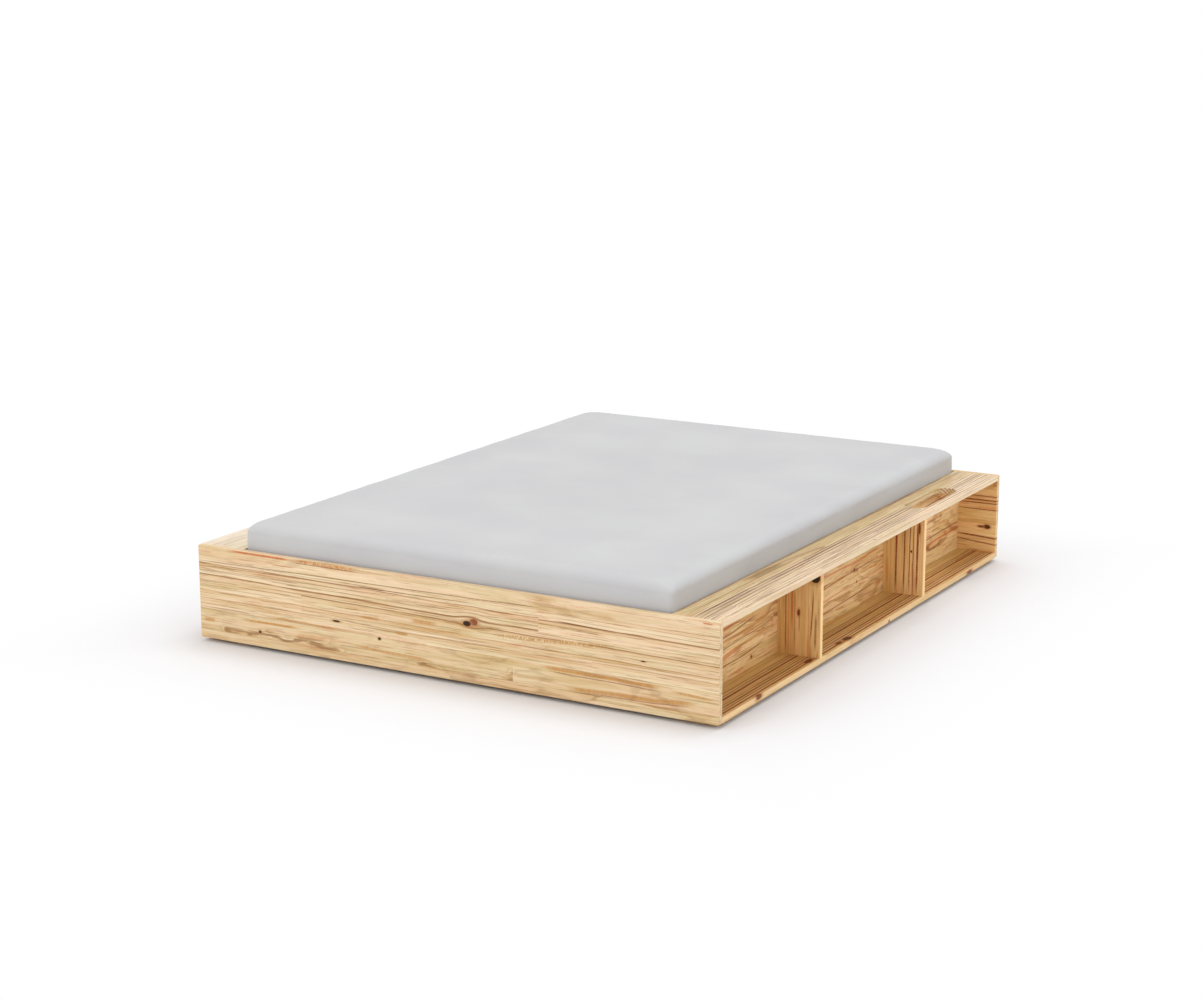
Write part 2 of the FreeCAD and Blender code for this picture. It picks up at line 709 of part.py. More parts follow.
def build_side_units(bores):
    """Both shelf units; the left one mirrors the right one."""
    boards = {
        "top_board": top_board(bores),
        "bottom_board": bottom_board(bores),
        "back_panel": back_panel(bores),
        "foot_end_divider": divider(-DIVIDER_Y, bores),
        "head_end_divider": divider(DIVIDER_Y, bores),
        "slat_batten": slat_batten(bores),
    }
    for name, board in boards.items():
        export("right_" + name, [board])
        export("left_" + name, [mirrored(board)])


def build_glides():
    """Glides under both shelf units and under the centre legs."""
    upright = glide()
    upright.Placement = pointing(Vector(0, 0, 0), UPWARDS, ALONG_X)
    right = at_points(upright, unit_glide_points())
    for number, piece in enumerate(right, start=1):
        export(f"right_glide_{number}", [piece])
        export(f"left_glide_{number}", [mirrored(piece)])
    for number, piece in enumerate(at_points(upright, leg_glide_points()), start=1):
        export(f"centre_glide_{number}", [piece])


def build_slatted_base():
    """Slats, the straps under them and the staples that join the two."""
    leg_rooms = []
    for leg in staple_legs():
        leg_rooms += at_points(leg, staple_points())
    for number, slat in enumerate(slats(leg_rooms), start=1):
        export(f"slat_{number:02d}", [slat])
    for name, x in zip(("left_webbing_strap", "right_webbing_strap"), strap_x()):
        export(name, [strap(x, leg_rooms)])
    export("webbing_staples", at_points(staple(), staple_points()))


def main():
    """Build every sub-part and write it to its file."""
    os.makedirs("parts", exist_ok=True)

    unit_screw = (UNIT_SCREW_LENGTH, UNIT_SCREW_RADIUS, UNIT_SCREW_HEAD)
    batten_screw = (BATTEN_SCREW_LENGTH, BATTEN_SCREW_RADIUS, BATTEN_SCREW_HEAD)
    hanger_screw = (HANGER_SCREW_LENGTH, HANGER_SCREW_RADIUS, HANGER_SCREW_HEAD)
    glide_screw = (GLIDE_SCREW_LENGTH, GLIDE_SCREW_RADIUS, GLIDE_SCREW_HEAD)
    unit_glide_screws = glide_screw_places(unit_glide_points())
    leg_glide_screws = glide_screw_places(leg_glide_points())

    side_bores = copies(dowel_bore(), dowel_places())
    side_bores += copies(cam_bores(), cam_places())
    side_bores += copies(screw_bore(*unit_screw), unit_screw_places())
    side_bores += copies(screw_bore(*batten_screw), batten_screw_places())
    side_bores += copies(screw_bore(*glide_screw), unit_glide_screws)
    hanger_bores = copies(screw_bore(*hanger_screw), hanger_screw_places())
    leg_bores = copies(stud_bore(), stud_places()) + copies(screw_bore(*glide_screw), leg_glide_screws)

    build_side_units(side_bores)
    export("foot_board", [end_board(-1, both_sides(side_bores) + hanger_bores)])
    export("head_board", [end_board(1, both_sides(side_bores) + hanger_bores)])
    export("centre_beam", [centre_beam(leg_bores)])
    export("foot_beam_hanger", [beam_hanger(-1, hanger_bores)])
    export("head_beam_hanger", [beam_hanger(1, hanger_bores)])
    for number, y in enumerate(leg_y(), start=1):
        export(f"centre_leg_{number}", [centre_leg(y, leg_bores)])
    build_glides()

    export("wood_dowels", both_sides(copies(dowel(), dowel_places())))
    export("cam_bolts", both_sides(copies(cam_bolt(), cam_places())))
    export("cam_discs", both_sides(copies(cam_disc(), cam_places())))
    export("unit_screws", both_sides(copies(wood_screw(*unit_screw), unit_screw_places())))
    export("batten_screws", both_sides(copies(wood_screw(*batten_screw), batten_screw_places())))
    export("hanger_screws", copies(wood_screw(*hanger_screw), hanger_screw_places()))
    export("leg_studs", copies(stud(), stud_places()))
    glide_screws = both_sides(copies(wood_screw(*glide_screw), unit_glide_screws))
    export("glide_screws", glide_screws + copies(wood_screw(*glide_screw), leg_glide_screws))

    build_slatted_base()
    export("mattress_cover", [mattress_cover()])
    export("mattress_core", [mattress_core()])


main()
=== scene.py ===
"""Dressed scene of a low storage bed: solid pine frame, slatted base and sunk-in mattress.

Objects are in metres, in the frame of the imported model: +X to the sleeper's right, +Y towards the
head board, +Z up, floor at Z = 0. The finishes work in millimetres of that same frame, so that a
ring, a knot or a glue line is written at its real size and place.
"""

import json
import logging
import math
import random
from dataclasses import dataclass, replace
from enum import Enum
from typing import Any, Callable, Mapping, Sequence

import bmesh
import bpy
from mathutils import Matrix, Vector, noise

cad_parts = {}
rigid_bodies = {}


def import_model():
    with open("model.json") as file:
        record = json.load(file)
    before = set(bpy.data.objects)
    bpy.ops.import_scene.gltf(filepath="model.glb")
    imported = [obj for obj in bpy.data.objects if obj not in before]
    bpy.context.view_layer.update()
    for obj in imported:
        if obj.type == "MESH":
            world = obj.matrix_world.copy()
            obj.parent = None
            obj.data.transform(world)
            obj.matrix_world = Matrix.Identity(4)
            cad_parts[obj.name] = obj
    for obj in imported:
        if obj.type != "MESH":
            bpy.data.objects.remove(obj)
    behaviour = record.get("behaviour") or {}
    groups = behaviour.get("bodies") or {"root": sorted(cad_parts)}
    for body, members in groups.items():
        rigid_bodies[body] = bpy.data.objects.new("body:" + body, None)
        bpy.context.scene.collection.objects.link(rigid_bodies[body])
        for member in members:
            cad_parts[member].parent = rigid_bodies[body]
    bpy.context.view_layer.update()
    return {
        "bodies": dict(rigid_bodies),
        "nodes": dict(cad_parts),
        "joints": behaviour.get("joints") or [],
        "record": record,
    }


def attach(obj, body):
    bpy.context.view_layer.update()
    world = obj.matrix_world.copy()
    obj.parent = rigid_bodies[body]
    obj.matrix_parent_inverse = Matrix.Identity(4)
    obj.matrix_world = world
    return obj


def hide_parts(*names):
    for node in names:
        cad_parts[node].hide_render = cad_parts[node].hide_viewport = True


MM = 0.001

Colour = tuple[float, float, float, float]
Triple = tuple[float, float, float]

WHITE: Colour = (1.0, 1.0, 1.0, 1.0)

log = logging.getLogger("storage_bed")


def paint(red: int, green: int, blue: int) -> Colour:
    """Turn a colour as a paint card gives it into the renderer's linear values.

    Args:
        red: Red, 0 to 255.
        green: Green, 0 to 255.
        blue: Blue, 0 to 255.

    Returns:
        Linear red, green, blue and an opacity of 1.
    """
    linear = []
    for level in (red / 255, green / 255, blue / 255):
        linear.append(level / 12.92 if level <= 0.04045 else ((level + 0.055) / 1.055) ** 2.4)
    return (linear[0], linear[1], linear[2], 1.0)


class Axis(Enum):
    """A direction of the bed's frame."""

    X = 0
    Y = 1
    Z = 2


class Side(Enum):
    """A side of the bed as the sleeper has it."""

    RIGHT = 1
    LEFT = -1

    @property
    def word(self) -> str:
        """Name of the side in the solids' names."""
        return self.name.lower()


# ------------------------------------------------------------------------------ shader maths


def operator(operation: str, swapped: bool = False) -> Callable[..., "Wire"]:
    """Make a method that adds a Math node.

    Args:
        operation: What the node does.
        swapped: Whether the method's own wire comes last, as it does after a plain number.

    Returns:
        The method.
    """
    def method(wire: "Wire", *others: "Wire | float") -> "Wire":
        """Add the node."""
        terms = (*others, wire) if swapped else (wire, *others)
        return wire.graph.add("ShaderNodeMath", {"operation": operation}, dict(enumerate(terms)))

    return method


class Wire:
    """An output of a node. Arithmetic on it adds Math nodes."""

    def __init__(self, graph: "Graph", socket: bpy.types.NodeSocket | None) -> None:
        """Keep the socket and the graph that it belongs to."""
        self.graph = graph
        self.socket = socket

    __add__, __radd__ = operator("ADD"), operator("ADD", swapped=True)
    __sub__, __rsub__ = operator("SUBTRACT"), operator("SUBTRACT", swapped=True)
    __mul__, __rmul__ = operator("MULTIPLY"), operator("MULTIPLY", swapped=True)
    __truediv__, __rtruediv__ = operator("DIVIDE"), operator("DIVIDE", swapped=True)
    __pow__, __rpow__ = operator("POWER"), operator("POWER", swapped=True)
    __abs__ = operator("ABSOLUTE")
    floor = operator("FLOOR")
    fraction = operator("FRACT")
    root = operator("SQRT")
    sine = operator("SINE")
    largest = operator("MAXIMUM")

    def fading(self) -> "Wire":
        """e to the power of minus this value."""
        return operator("EXPONENT")(self * -1.0)

    def other(self, output: str | int) -> "Wire":
        """Another output of the same node."""
        return Wire(self.graph, self.socket.node.outputs[output])


@dataclass(frozen=True)
class Spot:
    """A place in millimetres: along the grain, across it and through the board, or X, Y and Z."""

    along: Wire
    across: Wire
    depth: Wire

    def noise(self, rates: Triple, shift: Wire | float = 0.0, detail: float = 2.0,
              rough: float = 0.5) -> Wire:
        """Smooth noise from 0 to 1.

        Args:
            rates: Features per millimetre along, across and through.
            shift: Moves the pattern.
            detail: Number of finer layers.
            rough: Weight of the finer layers.

        Returns:
            The noise.
        """
        graph = self.along.graph
        vector = graph.join(self.along * rates[0], self.across * rates[1],
                            self.depth * rates[2] + shift)
        return graph.add("ShaderNodeTexNoise", {"noise_dimensions": "3D"},
                         {"Vector": vector, "Scale": 1.0, "Detail": detail, "Roughness": rough})


class Graph:
    """The node tree of a material or of the world, with short ways to add what it needs."""

    def __init__(self, owner: bpy.types.Material | bpy.types.World) -> None:
        """Empty the tree.

        Args:
            owner: Material or world that the nodes are for.
        """
        self.owner = owner
        owner.use_nodes = True
        self.tree = owner.node_tree
        self.tree.nodes.clear()

    def add(self, kind: str, settings: Mapping[str, Any] | None = None,
            inputs: Mapping[str | int, Any] | None = None, output: str | int = 0) -> Wire:
        """Add a node.

        Args:
            kind: The node's type.
            settings: Its settings; "stops" gives a ramp's positions and colours.
            inputs: Values or wires for its sockets, by name or number.
            output: The socket that is handed back.

        Returns:
            The wire of that output.
        """
        node = self.tree.nodes.new(kind)
        for key, value in (settings or {}).items():
            if key == "stops":
                self._set_stops(node.color_ramp, value)
            else:
                setattr(node, key, value)
        for key, value in (inputs or {}).items():
            if isinstance(value, Wire):
                self.tree.links.new(value.socket, node.inputs[key])
            else:
                node.inputs[key].default_value = value
        return Wire(self, node.outputs[output] if node.outputs else None)

    @staticmethod
    def _set_stops(ramp: bpy.types.ColorRamp, stops: Sequence[tuple[float, Colour]]) -> None:
        """Give a ramp its stops, with no blend between them.

        Args:
            ramp: The ramp.
            stops: Position and colour of each stop.
        """
        ramp.interpolation = "CONSTANT"
        while len(ramp.elements) < len(stops):
            ramp.elements.new(1.0)
        for element, (position, colour) in zip(ramp.elements, stops):
            element.position = position
            element.color = colour

    def spot(self, *axes: Axis) -> Spot:
        """Place on the surface, its three parts taken along the given directions.

        Args:
            axes: Three directions.

        Returns:
            The place, in millimetres of the bed's frame.
        """
        place = self.add("ShaderNodeTexCoord", output="Object")
        scaled = self.add("ShaderNodeVectorMath", {"operation": "SCALE"},
                          {0: place, "Scale": 1.0 / MM})
        parts = self.split(scaled)
        return Spot(*(parts[axis.value] for axis in axes))

    def split(self, vector: Wire) -> tuple[Wire, Wire, Wire]:
        """The three parts of a vector."""
        first = self.add("ShaderNodeSeparateXYZ", None, {0: vector})
        return first, first.other(1), first.other(2)

    def join(self, first: Wire | float, second: Wire | float, third: Wire | float) -> Wire:
        """A vector of three values."""
        return self.add("ShaderNodeCombineXYZ", None, {0: first, 1: second, 2: third})

    def chance(self, first: Wire, second: Wire | float) -> tuple[Wire, Wire, Wire]:
        """Three random values from 0 to 1 that stay the same for the same pair of numbers."""
        return self.split(self.add("ShaderNodeTexWhiteNoise", {"noise_dimensions": "2D"},
                                   {"Vector": self.join(first, second, 0.0)}, output="Color"))

    def rise(self, value: Wire, low: Wire | float, high: Wire | float) -> Wire:
        """Smooth step from 0 at low to 1 at high."""
        return self.add("ShaderNodeMapRange", {"interpolation_type": "SMOOTHSTEP", "clamp": True},
                        {"Value": value, "From Min": low, "From Max": high})

    def blend(self, share: Wire | float, first: Wire | Colour, second: Wire | Colour,
              mode: str = "MIX") -> Wire:
        """Mix two colours.

        Args:
            share: How much of the second colour shows, 0 to 1.
            first: Colour below.
            second: Colour on top.
            mode: How the second colour is laid on.

        Returns:
            The mixed colour.
        """
        settings = {"data_type": "RGBA", "blend_type": mode, "clamp_factor": True}
        return self.add("ShaderNodeMix", settings, {0: share, 6: first, 7: second}, output=2)

    def finish(self, sockets: Mapping[str, Any], relief: Wire, height: float) -> bpy.types.Material:
        """Close the tree with the shader.

        Args:
            sockets: Values or wires for the shader's sockets.
            relief: Height map of the surface, 0 to 1.
            height: Height in metres that 1 stands for.

        Returns:
            The finished material.
        """
        bump = self.add("ShaderNodeBump", None, {"Strength": 1.0, "Distance": height,
                                                 "Height": relief})
        shader = self.add("ShaderNodeBsdfPrincipled", None, {**sockets, "Normal": bump})
        self.add("ShaderNodeOutputMaterial", None, {"Surface": shader})
        return self.owner


# ------------------------------------------------------------------------------ pine


class Mark(Enum):
    """What a streak in the wood is: its colour and whether it is broken up into flecks."""

    RESIN = (paint(208, 116, 62), 0.15)
    AMBER = (paint(204, 150, 84), 0.25)
    FLECKED = (paint(206, 138, 76), 0.95)
    OLIVE = (paint(168, 134, 76), 0.30)
    LINE = (paint(124, 74, 36), 0.10)
    BROWN = (paint(132, 54, 4), 0.20)
    HATCHED = (paint(196, 148, 84), 0.95)

    @property
    def colour(self) -> Colour:
        """Colour of the streak."""
        return self.value[0]

    @property
    def flecks(self) -> float:
        """How much of the streak is broken up, 0 to 1."""
        return self.value[1]


@dataclass(frozen=True)
class Stave:
    """One glued strip of a board, in millimetres.

    heart is the way across from the strip's middle to the heart of the tree, below the way down to
    it; pitch is the width of a year ring; tan runs from 0, pale and pink, to 1, olive tan; waver is
    how far the rings wander, from 0 to 1; joint moves the finger joints, from 0 to 1.
    """

    width: float
    heart: float = 140.0
    below: float = 30.0
    pitch: float = 9.0
    tan: float = 0.3
    contrast: float = 0.6
    waver: float = 0.4
    joint: float = 0.5


@dataclass(frozen=True)
class Streak:
    """A mark that runs with the grain: from start to end, at a place across, of a half width."""

    mark: Mark
    start: float
    end: float
    across: float
    half: float
    strength: float
    rise: float = 0.0
    bend: float = 1.0

    def on(self, side: Side) -> "Streak":
        """The streak on the right-hand unit, or its mirror image on the left-hand one."""
        return replace(self, across=self.across * side.value, rise=self.rise * side.value)


def streaks(mark: Mark, *rows: tuple[float, ...]) -> tuple[Streak, ...]:
    """Streaks of one kind.

    Args:
        mark: What they are.
        rows: Start, end, place across, half width and strength of each, then its rise and bend
            where they aren't 0 and 1.

    Returns:
        The streaks in the same order.
    """
    return tuple(Streak(mark, *row) for row in rows)


@dataclass(frozen=True)
class Knot:
    """A knot with its half length and half width; dark 0 is sound and brown, 1 black.

    A knot runs through the whole board, unless deep gives its own place in the thickness.
    """

    along: float
    across: float
    long: float
    wide: float
    dark: float = 0.5
    deep: float | None = None

    def on(self, side: Side) -> "Knot":
        """The knot on the right-hand unit, or its mirror image on the left-hand one."""
        return replace(self, across=self.across * side.value)

    def offsets(self, spot: Spot) -> tuple[Wire, Wire]:
        """Place seen from the knot, in its half lengths and half widths."""
        return (spot.along - self.along) / self.long, (spot.across - self.across) / self.wide


def mixed_staves(seed: int, width: float, count: int) -> tuple[Stave, ...]:
    """Strips for a board whose faces nobody has drawn.

    Args:
        seed: Start of the random numbers.
        width: Width of the board.
        count: Number of strips.

    Returns:
        Strips that add up to the width.
    """
    dice = random.Random(seed)
    shares = [dice.uniform(0.8, 1.25) for _ in range(count)]
    staves = []
    for share in shares:
        flat = dice.random() < 0.35
        staves.append(Stave(
            width=width * share / sum(shares),
            heart=dice.uniform(-15, 15) if flat else dice.choice((-1, 1)) * dice.uniform(70, 190),
            below=dice.uniform(6, 20) if flat else dice.uniform(15, 60),
            pitch=dice.uniform(6.5, 11.5),
            tan=dice.uniform(0.1, 0.6),
            contrast=dice.uniform(0.55, 0.9),
            waver=dice.uniform(0.1, 0.7),
            joint=dice.random()))
    return tuple(staves)


@dataclass(frozen=True)
class Pine:
    """Solid pine: year rings, glued strips with finger joints, knots, resin and a clear finish."""

    along: Axis
    across: Axis
    depth: Axis
    edge: float
    staves: tuple[Stave, ...]
    joint_every: float = 640.0
    seed: int = 1
    streaks: tuple[Streak, ...] = ()
    knots: tuple[Knot, ...] = ()
    resin: float = 0.35
    resin_size: float = 1.0
    lacquer: float = 0.06
    share: float = 0.22
    line: Colour = paint(146, 84, 36)
    # cast multiplies the board's whole colour. On the bed's boards it is painted light and shade: each
    # board's colour is raised, lowered or warmed to how its faces are lit. On the beech dowels it is
    # the wood's own tone.
    cast: Colour = WHITE
    # The second cast below is painted shade on the faces that lie beyond outer_from in depth.
    outer_painted_shade: Colour | None = None
    outer_from: float = 0.0

    CREAM = paint(246, 223, 178)
    BLUSH = paint(249, 216, 176)
    TAN = paint(212, 182, 120)
    EARLY = paint(246, 226, 188)
    RESIN = paint(204, 122, 64)
    AMBER = paint(216, 160, 92)
    KNOT = paint(152, 84, 48)
    KNOT_BLACK = paint(26, 12, 7)
    KNOT_RIM = paint(186, 128, 76)
    GLUE = paint(160, 120, 76)

    HEART_SPAN = 500.0
    DEEPEST = 90.0
    COARSEST = 24.0
    MOST_STRIPS = 16
    SIDE_LUCK = 46.0
    DEPTH_LUCK = 16.0
    TAPER = 0.003
    SWAY = 30.0
    RIPPLE = 5.0
    PIN_KNOT = 6

    def material(self, name: str) -> bpy.types.Material:
        """Build the material.

        Args:
            name: Name of the material.

        Returns:
            The finished material.
        """
        graph = Graph(bpy.data.materials.new(name))
        spot = graph.spot(self.along, self.across, self.depth)
        share = (spot.across - self.edge) / sum(stave.width for stave in self.staves)
        heart, below, pitch, waver = self._steps(share, [
            ((self._heart_at(index) - self.edge + self.HEART_SPAN) / (2 * self.HEART_SPAN),
             stave.below / self.DEEPEST, stave.pitch / self.COARSEST, stave.waver)
            for index, stave in enumerate(self.staves)])
        tan, contrast, number, joint = self._steps(share, [
            (stave.tan, stave.contrast, (index + 0.5) / self.MOST_STRIPS, stave.joint)
            for index, stave in enumerate(self.staves)])
        strip = (number * self.MOST_STRIPS).floor()
        piece = (spot.along / self.joint_every + joint).floor()
        luck, luck_two, luck_three = graph.chance(strip * 7.0 + self.seed, piece)

        sway = spot.noise((0.0022, 0.006, 0.0), strip * 3.1 + self.seed)
        ripple = spot.noise((0.012, 0.035, 0.03), piece * 5.3)
        bent = spot.across
        for knot in self.knots:
            if knot.long > self.PIN_KNOT:
                bent = bent - self._parting(knot, spot)
        side = bent - (heart * (2 * self.HEART_SPAN) + (self.edge - self.HEART_SPAN))
        side = side + (luck - 0.5) * self.SIDE_LUCK
        down = spot.depth + below * self.DEEPEST + (luck_two - 0.5) * self.DEPTH_LUCK
        radius = (side * side + down * down).root() + spot.along * self.TAPER
        radius = radius + ((sway - 0.5) * self.SWAY + (ripple - 0.5) * self.RIPPLE) * waver
        fibre = spot.noise((0.007, 0.30, 0.30), detail=4.0, rough=0.68)
        ring = radius / (pitch * self.COARSEST) + (fibre - 0.5) * 0.12
        late, lines = self._rings(ring, abs(side) / (radius + 1.0), strip, contrast, spot)

        flock = spot.noise((0.004, 0.035, 0.035), strip)
        colour = graph.blend(graph.rise(flock, 0.3, 0.7), self.CREAM, self.BLUSH)
        cloud = spot.noise((0.0035, 0.055, 0.055), strip * -1.0)
        browner = tan + (luck_three - 0.5) * 0.3 + graph.rise(cloud, 0.42, 0.68) * 0.45
        colour = graph.blend(browner, colour, self.TAN)
        colour = graph.blend(late * (contrast * 0.30 + 0.10), colour, self.AMBER)
        colour = graph.blend(graph.rise(fibre, 0.52, 0.66) * 0.55, colour, self.EARLY)
        dark_fibre = graph.rise(1.0 - fibre, 0.54, 0.64) * (contrast * 0.70)
        colour = graph.blend(dark_fibre, colour, self.line)
        gum = spot.noise((0.0058 * self.resin_size, 0.075 * self.resin_size, 0.05), self.seed * 2.3)
        broken = graph.rise(spot.noise((0.42, 0.10, 0.10), detail=1.0), 0.38, 0.56)
        gummed = graph.rise(gum, 0.60, 0.66) * (0.5 + broken * 0.4) * self.resin
        colour = graph.blend(gummed, colour, self.RESIN)
        for streak in self.streaks:
            shown = self._streak(streak, spot, sway, broken, fibre)
            colour = graph.blend(shown, colour, streak.mark.colour)
        colour = graph.blend(lines, colour, self.line)
        colour = graph.blend(self._glue(spot.across) * 0.4, colour, self.GLUE)
        relief = graph.rise(fibre, 0.3, 0.7) * 0.55 + lines * 0.3
        for knot in self.knots:
            colour, core = self._knot(knot, spot, ripple, colour)
            relief = relief + core * 0.25
        # Painted light and shade: the colour is multiplied by the board's cast, and on the head board's
        # outer face by its darker second cast.
        cast = self.cast
        if self.outer_painted_shade is not None:
            outside = graph.rise(spot.depth, self.outer_from - 0.5, self.outer_from + 0.5)
            cast = graph.blend(outside, self.cast, self.outer_painted_shade)
        colour = graph.blend(1.0, colour, cast, "MULTIPLY")
        rough = 0.42 + graph.rise(fibre, 0.2, 0.8) * 0.12 + lines * 0.08
        return graph.finish({"Base Color": colour, "Roughness": rough, "Coat Weight": self.lacquer,
                             "Coat Roughness": 0.28, "Coat IOR": 1.48, "Specular IOR Level": 0.15},
                            relief=relief, height=0.00012)

    def _rings(self, ring: Wire, steep: Wire, strip: Wire, contrast: Wire,
               spot: Spot) -> tuple[Wire, Wire]:
        """Late wood of the year rings, strong in some years and weak in others.

        Args:
            ring: Ring number, with its fraction.
            steep: How steeply the rings meet the face, 0 flat to 1 upright.
            strip: Number of the glued strip.
            contrast: Strength of the strip's lines.
            spot: Place in the board.

        Returns:
            The soft band of late wood and the dark line at its end.
        """
        rise = ring.graph.rise
        phase = ring.fraction()
        force, second, _ = ring.graph.chance(ring.floor() + strip * 31.0, self.seed + 0.5)
        late = rise(phase, 0.25, 0.92) * (1.0 - rise(phase, 0.95, 1.0))
        width = (steep * 0.75 + 0.25) * self.share
        start = 0.93 - width
        line = rise(phase, start, start + width * 0.5) * (1.0 - rise(phase, 0.93, 0.97))
        fine = (ring * 3.0 + second).fraction()
        hair = rise(fine, 0.55, 0.75) * (1.0 - rise(fine, 0.80, 0.95))
        worn = rise(spot.noise((0.006, 0.05, 0.05)), 0.24, 0.52)
        return late, contrast * (line * (force ** 1.5 * 0.85 + 0.15) + hair * second * 0.45) * worn

    def _heart_at(self, index: int) -> float:
        """Place across at which the heart of a strip's tree lies."""
        before = sum(stave.width for stave in self.staves[:index])
        return self.edge + before + self.staves[index].width / 2 + self.staves[index].heart

    def _steps(self, share: Wire, rows: Sequence[Colour]) -> tuple[Wire, ...]:
        """Four values that change from strip to strip.

        Args:
            share: Place across the board, 0 to 1.
            rows: The four values, 0 to 1, for each strip.

        Returns:
            The four values at this place.
        """
        width = sum(stave.width for stave in self.staves)
        stops, start = [], 0.0
        for stave, row in zip(self.staves, rows):
            stops.append((start / width, row))
            start += stave.width
        if len(stops) == 1:
            stops.append((1.0, rows[0]))
        ramp = share.graph.add("ShaderNodeValToRGB", {"stops": stops}, {0: share})
        return (*share.graph.split(ramp), ramp.other("Alpha"))

    def _glue(self, across: Wire) -> Wire:
        """Thin line at every glued joint between two strips.

        Args:
            across: Place across the grain.

        Returns:
            Mask of the lines.
        """
        at, mask = self.edge, across * 0.0
        for stave in self.staves[:-1]:
            at += stave.width
            mask = mask.largest(1.0 - across.graph.rise(abs(across - at), 0.25, 0.7))
        return mask

    @staticmethod
    def _streak(streak: Streak, spot: Spot, sway: Wire, broken: Wire, fibre: Wire) -> Wire:
        """How strongly a streak shows.

        Args:
            streak: The streak.
            spot: Place in the board.
            sway: Slow noise that bends the streak.
            broken: Mask that breaks it up into flecks.
            fibre: Fine noise that frays its edge.

        Returns:
            The strength, 0 to 1.
        """
        rise = sway.graph.rise
        soft = min(60.0, (streak.end - streak.start) * 0.3)
        middle = streak.across - streak.rise * (streak.start + streak.end) / 2
        away = abs(spot.across - (spot.along * streak.rise + middle)
                   + (sway - 0.5) * (streak.bend * 12.0) + (fibre - 0.5) * (streak.half * 0.7))
        inside = 1.0 - rise(away, streak.half * 0.35, streak.half)
        run = rise(spot.along, streak.start, streak.start + soft)
        run = run * (1.0 - rise(spot.along, streak.end - soft, streak.end))
        solid = 1.0 - streak.mark.flecks
        return inside * run * (broken * streak.mark.flecks + solid) * streak.strength

    @staticmethod
    def _parting(knot: Knot, spot: Spot) -> Wire:
        """How far the grain is pushed aside round a knot.

        Args:
            knot: The knot.
            spot: Place in the board.

        Returns:
            The push across the grain, in millimetres.
        """
        far, wide = knot.offsets(spot)
        near = (far * far * 0.16 + wide * wide * 0.16).fading()
        return (spot.across - knot.across) * near * 0.5

    def _knot(self, knot: Knot, spot: Spot, ripple: Wire, colour: Wire) -> tuple[Wire, Wire]:
        """Lay a knot over the wood.

        Args:
            knot: The knot.
            spot: Place in the board.
            ripple: Noise that keeps the outline uneven.
            colour: Wood so far.

        Returns:
            The wood with the knot, and the knot's own mask.
        """
        graph = colour.graph
        far, wide = knot.offsets(spot)
        spread = far * far + wide * wide
        if knot.deep is not None:
            thick = (spot.depth - knot.deep) / knot.wide
            spread = spread + thick * thick
        reach = spread.root() + (ripple - 0.5) * 0.7
        core = 1.0 - graph.rise(reach, 0.72, 1.02)
        rim = 1.0 - graph.rise(reach, 0.95, 1.9)
        ring = graph.rise((reach * 2.6).fraction(), 0.5, 0.9)
        colour = graph.blend(rim * 0.5, colour, self.KNOT_RIM)
        heart = graph.blend(ring * 0.5, self.KNOT, self.KNOT_BLACK)
        heart = graph.blend(knot.dark, heart, self.KNOT_BLACK)
        return graph.blend(core * 0.95, colour, heart), core


# ------------------------------------------------------------------------------ other finishes


@dataclass(frozen=True)
class Knit:
    """Smooth light grey knit of the mattress cover."""

    light: Colour = paint(193, 193, 193)
    shade: Colour = paint(188, 187, 189)
    loop: float = 1.7

    def material(self, name: str) -> bpy.types.Material:
        """Build the material.

        Args:
            name: Name of the material.

        Returns:
            The finished material.
        """
        graph = Graph(bpy.data.materials.new(name))
        spot = graph.spot(*Axis)
        turn = 2 * math.pi / self.loop
        waves = (spot.along * turn).sine() + (spot.across * turn).sine() + (spot.depth * turn).sine()
        loops = waves * 0.17 + 0.5
        cloud = spot.noise((0.004, 0.004, 0.01), detail=3.0)
        yarn = spot.noise((0.9, 0.9, 0.9), detail=3.0)
        colour = graph.blend(graph.rise(cloud, 0.25, 0.75), self.light, self.shade)
        colour = graph.blend(graph.rise(loops, 0.2, 0.8) * 0.10, colour, self.light, "SCREEN")
        colour = graph.blend(graph.rise(yarn, 0.45, 0.8) * 0.08, colour, self.shade, "MULTIPLY")
        return graph.finish({"Base Color": colour, "Roughness": 0.88 + yarn * 0.1,
                             "Sheen Weight": 0.05, "Sheen Roughness": 0.5,
                             "Specular IOR Level": 0.3},
                            relief=loops * 0.7 + yarn * 0.3, height=0.00025)


@dataclass(frozen=True)
class Webbing:
    """Woven strap: twill ribs across its run."""

    yarn: Colour = paint(226, 222, 208)
    gap: Colour = paint(170, 164, 148)

    def material(self, name: str) -> bpy.types.Material:
        """Build the material.

        Args:
            name: Name of the material.

        Returns:
            The finished material.
        """
        graph = Graph(bpy.data.materials.new(name))
        spot = graph.spot(*Axis)
        ribs = ((spot.along + spot.across) * 2.1).sine() * 0.5 + 0.5
        threads = ((spot.across - spot.along * 0.3) * 4.0).sine() * 0.25 + 0.75
        twill = ribs * threads
        fuzz = spot.noise((1.5, 1.5, 0.0), detail=3.0)
        colour = graph.blend(twill * (0.7 + fuzz * 0.3), self.gap, self.yarn)
        return graph.finish({"Base Color": colour, "Roughness": 0.85 + fuzz * 0.1},
                            relief=twill, height=0.0003)


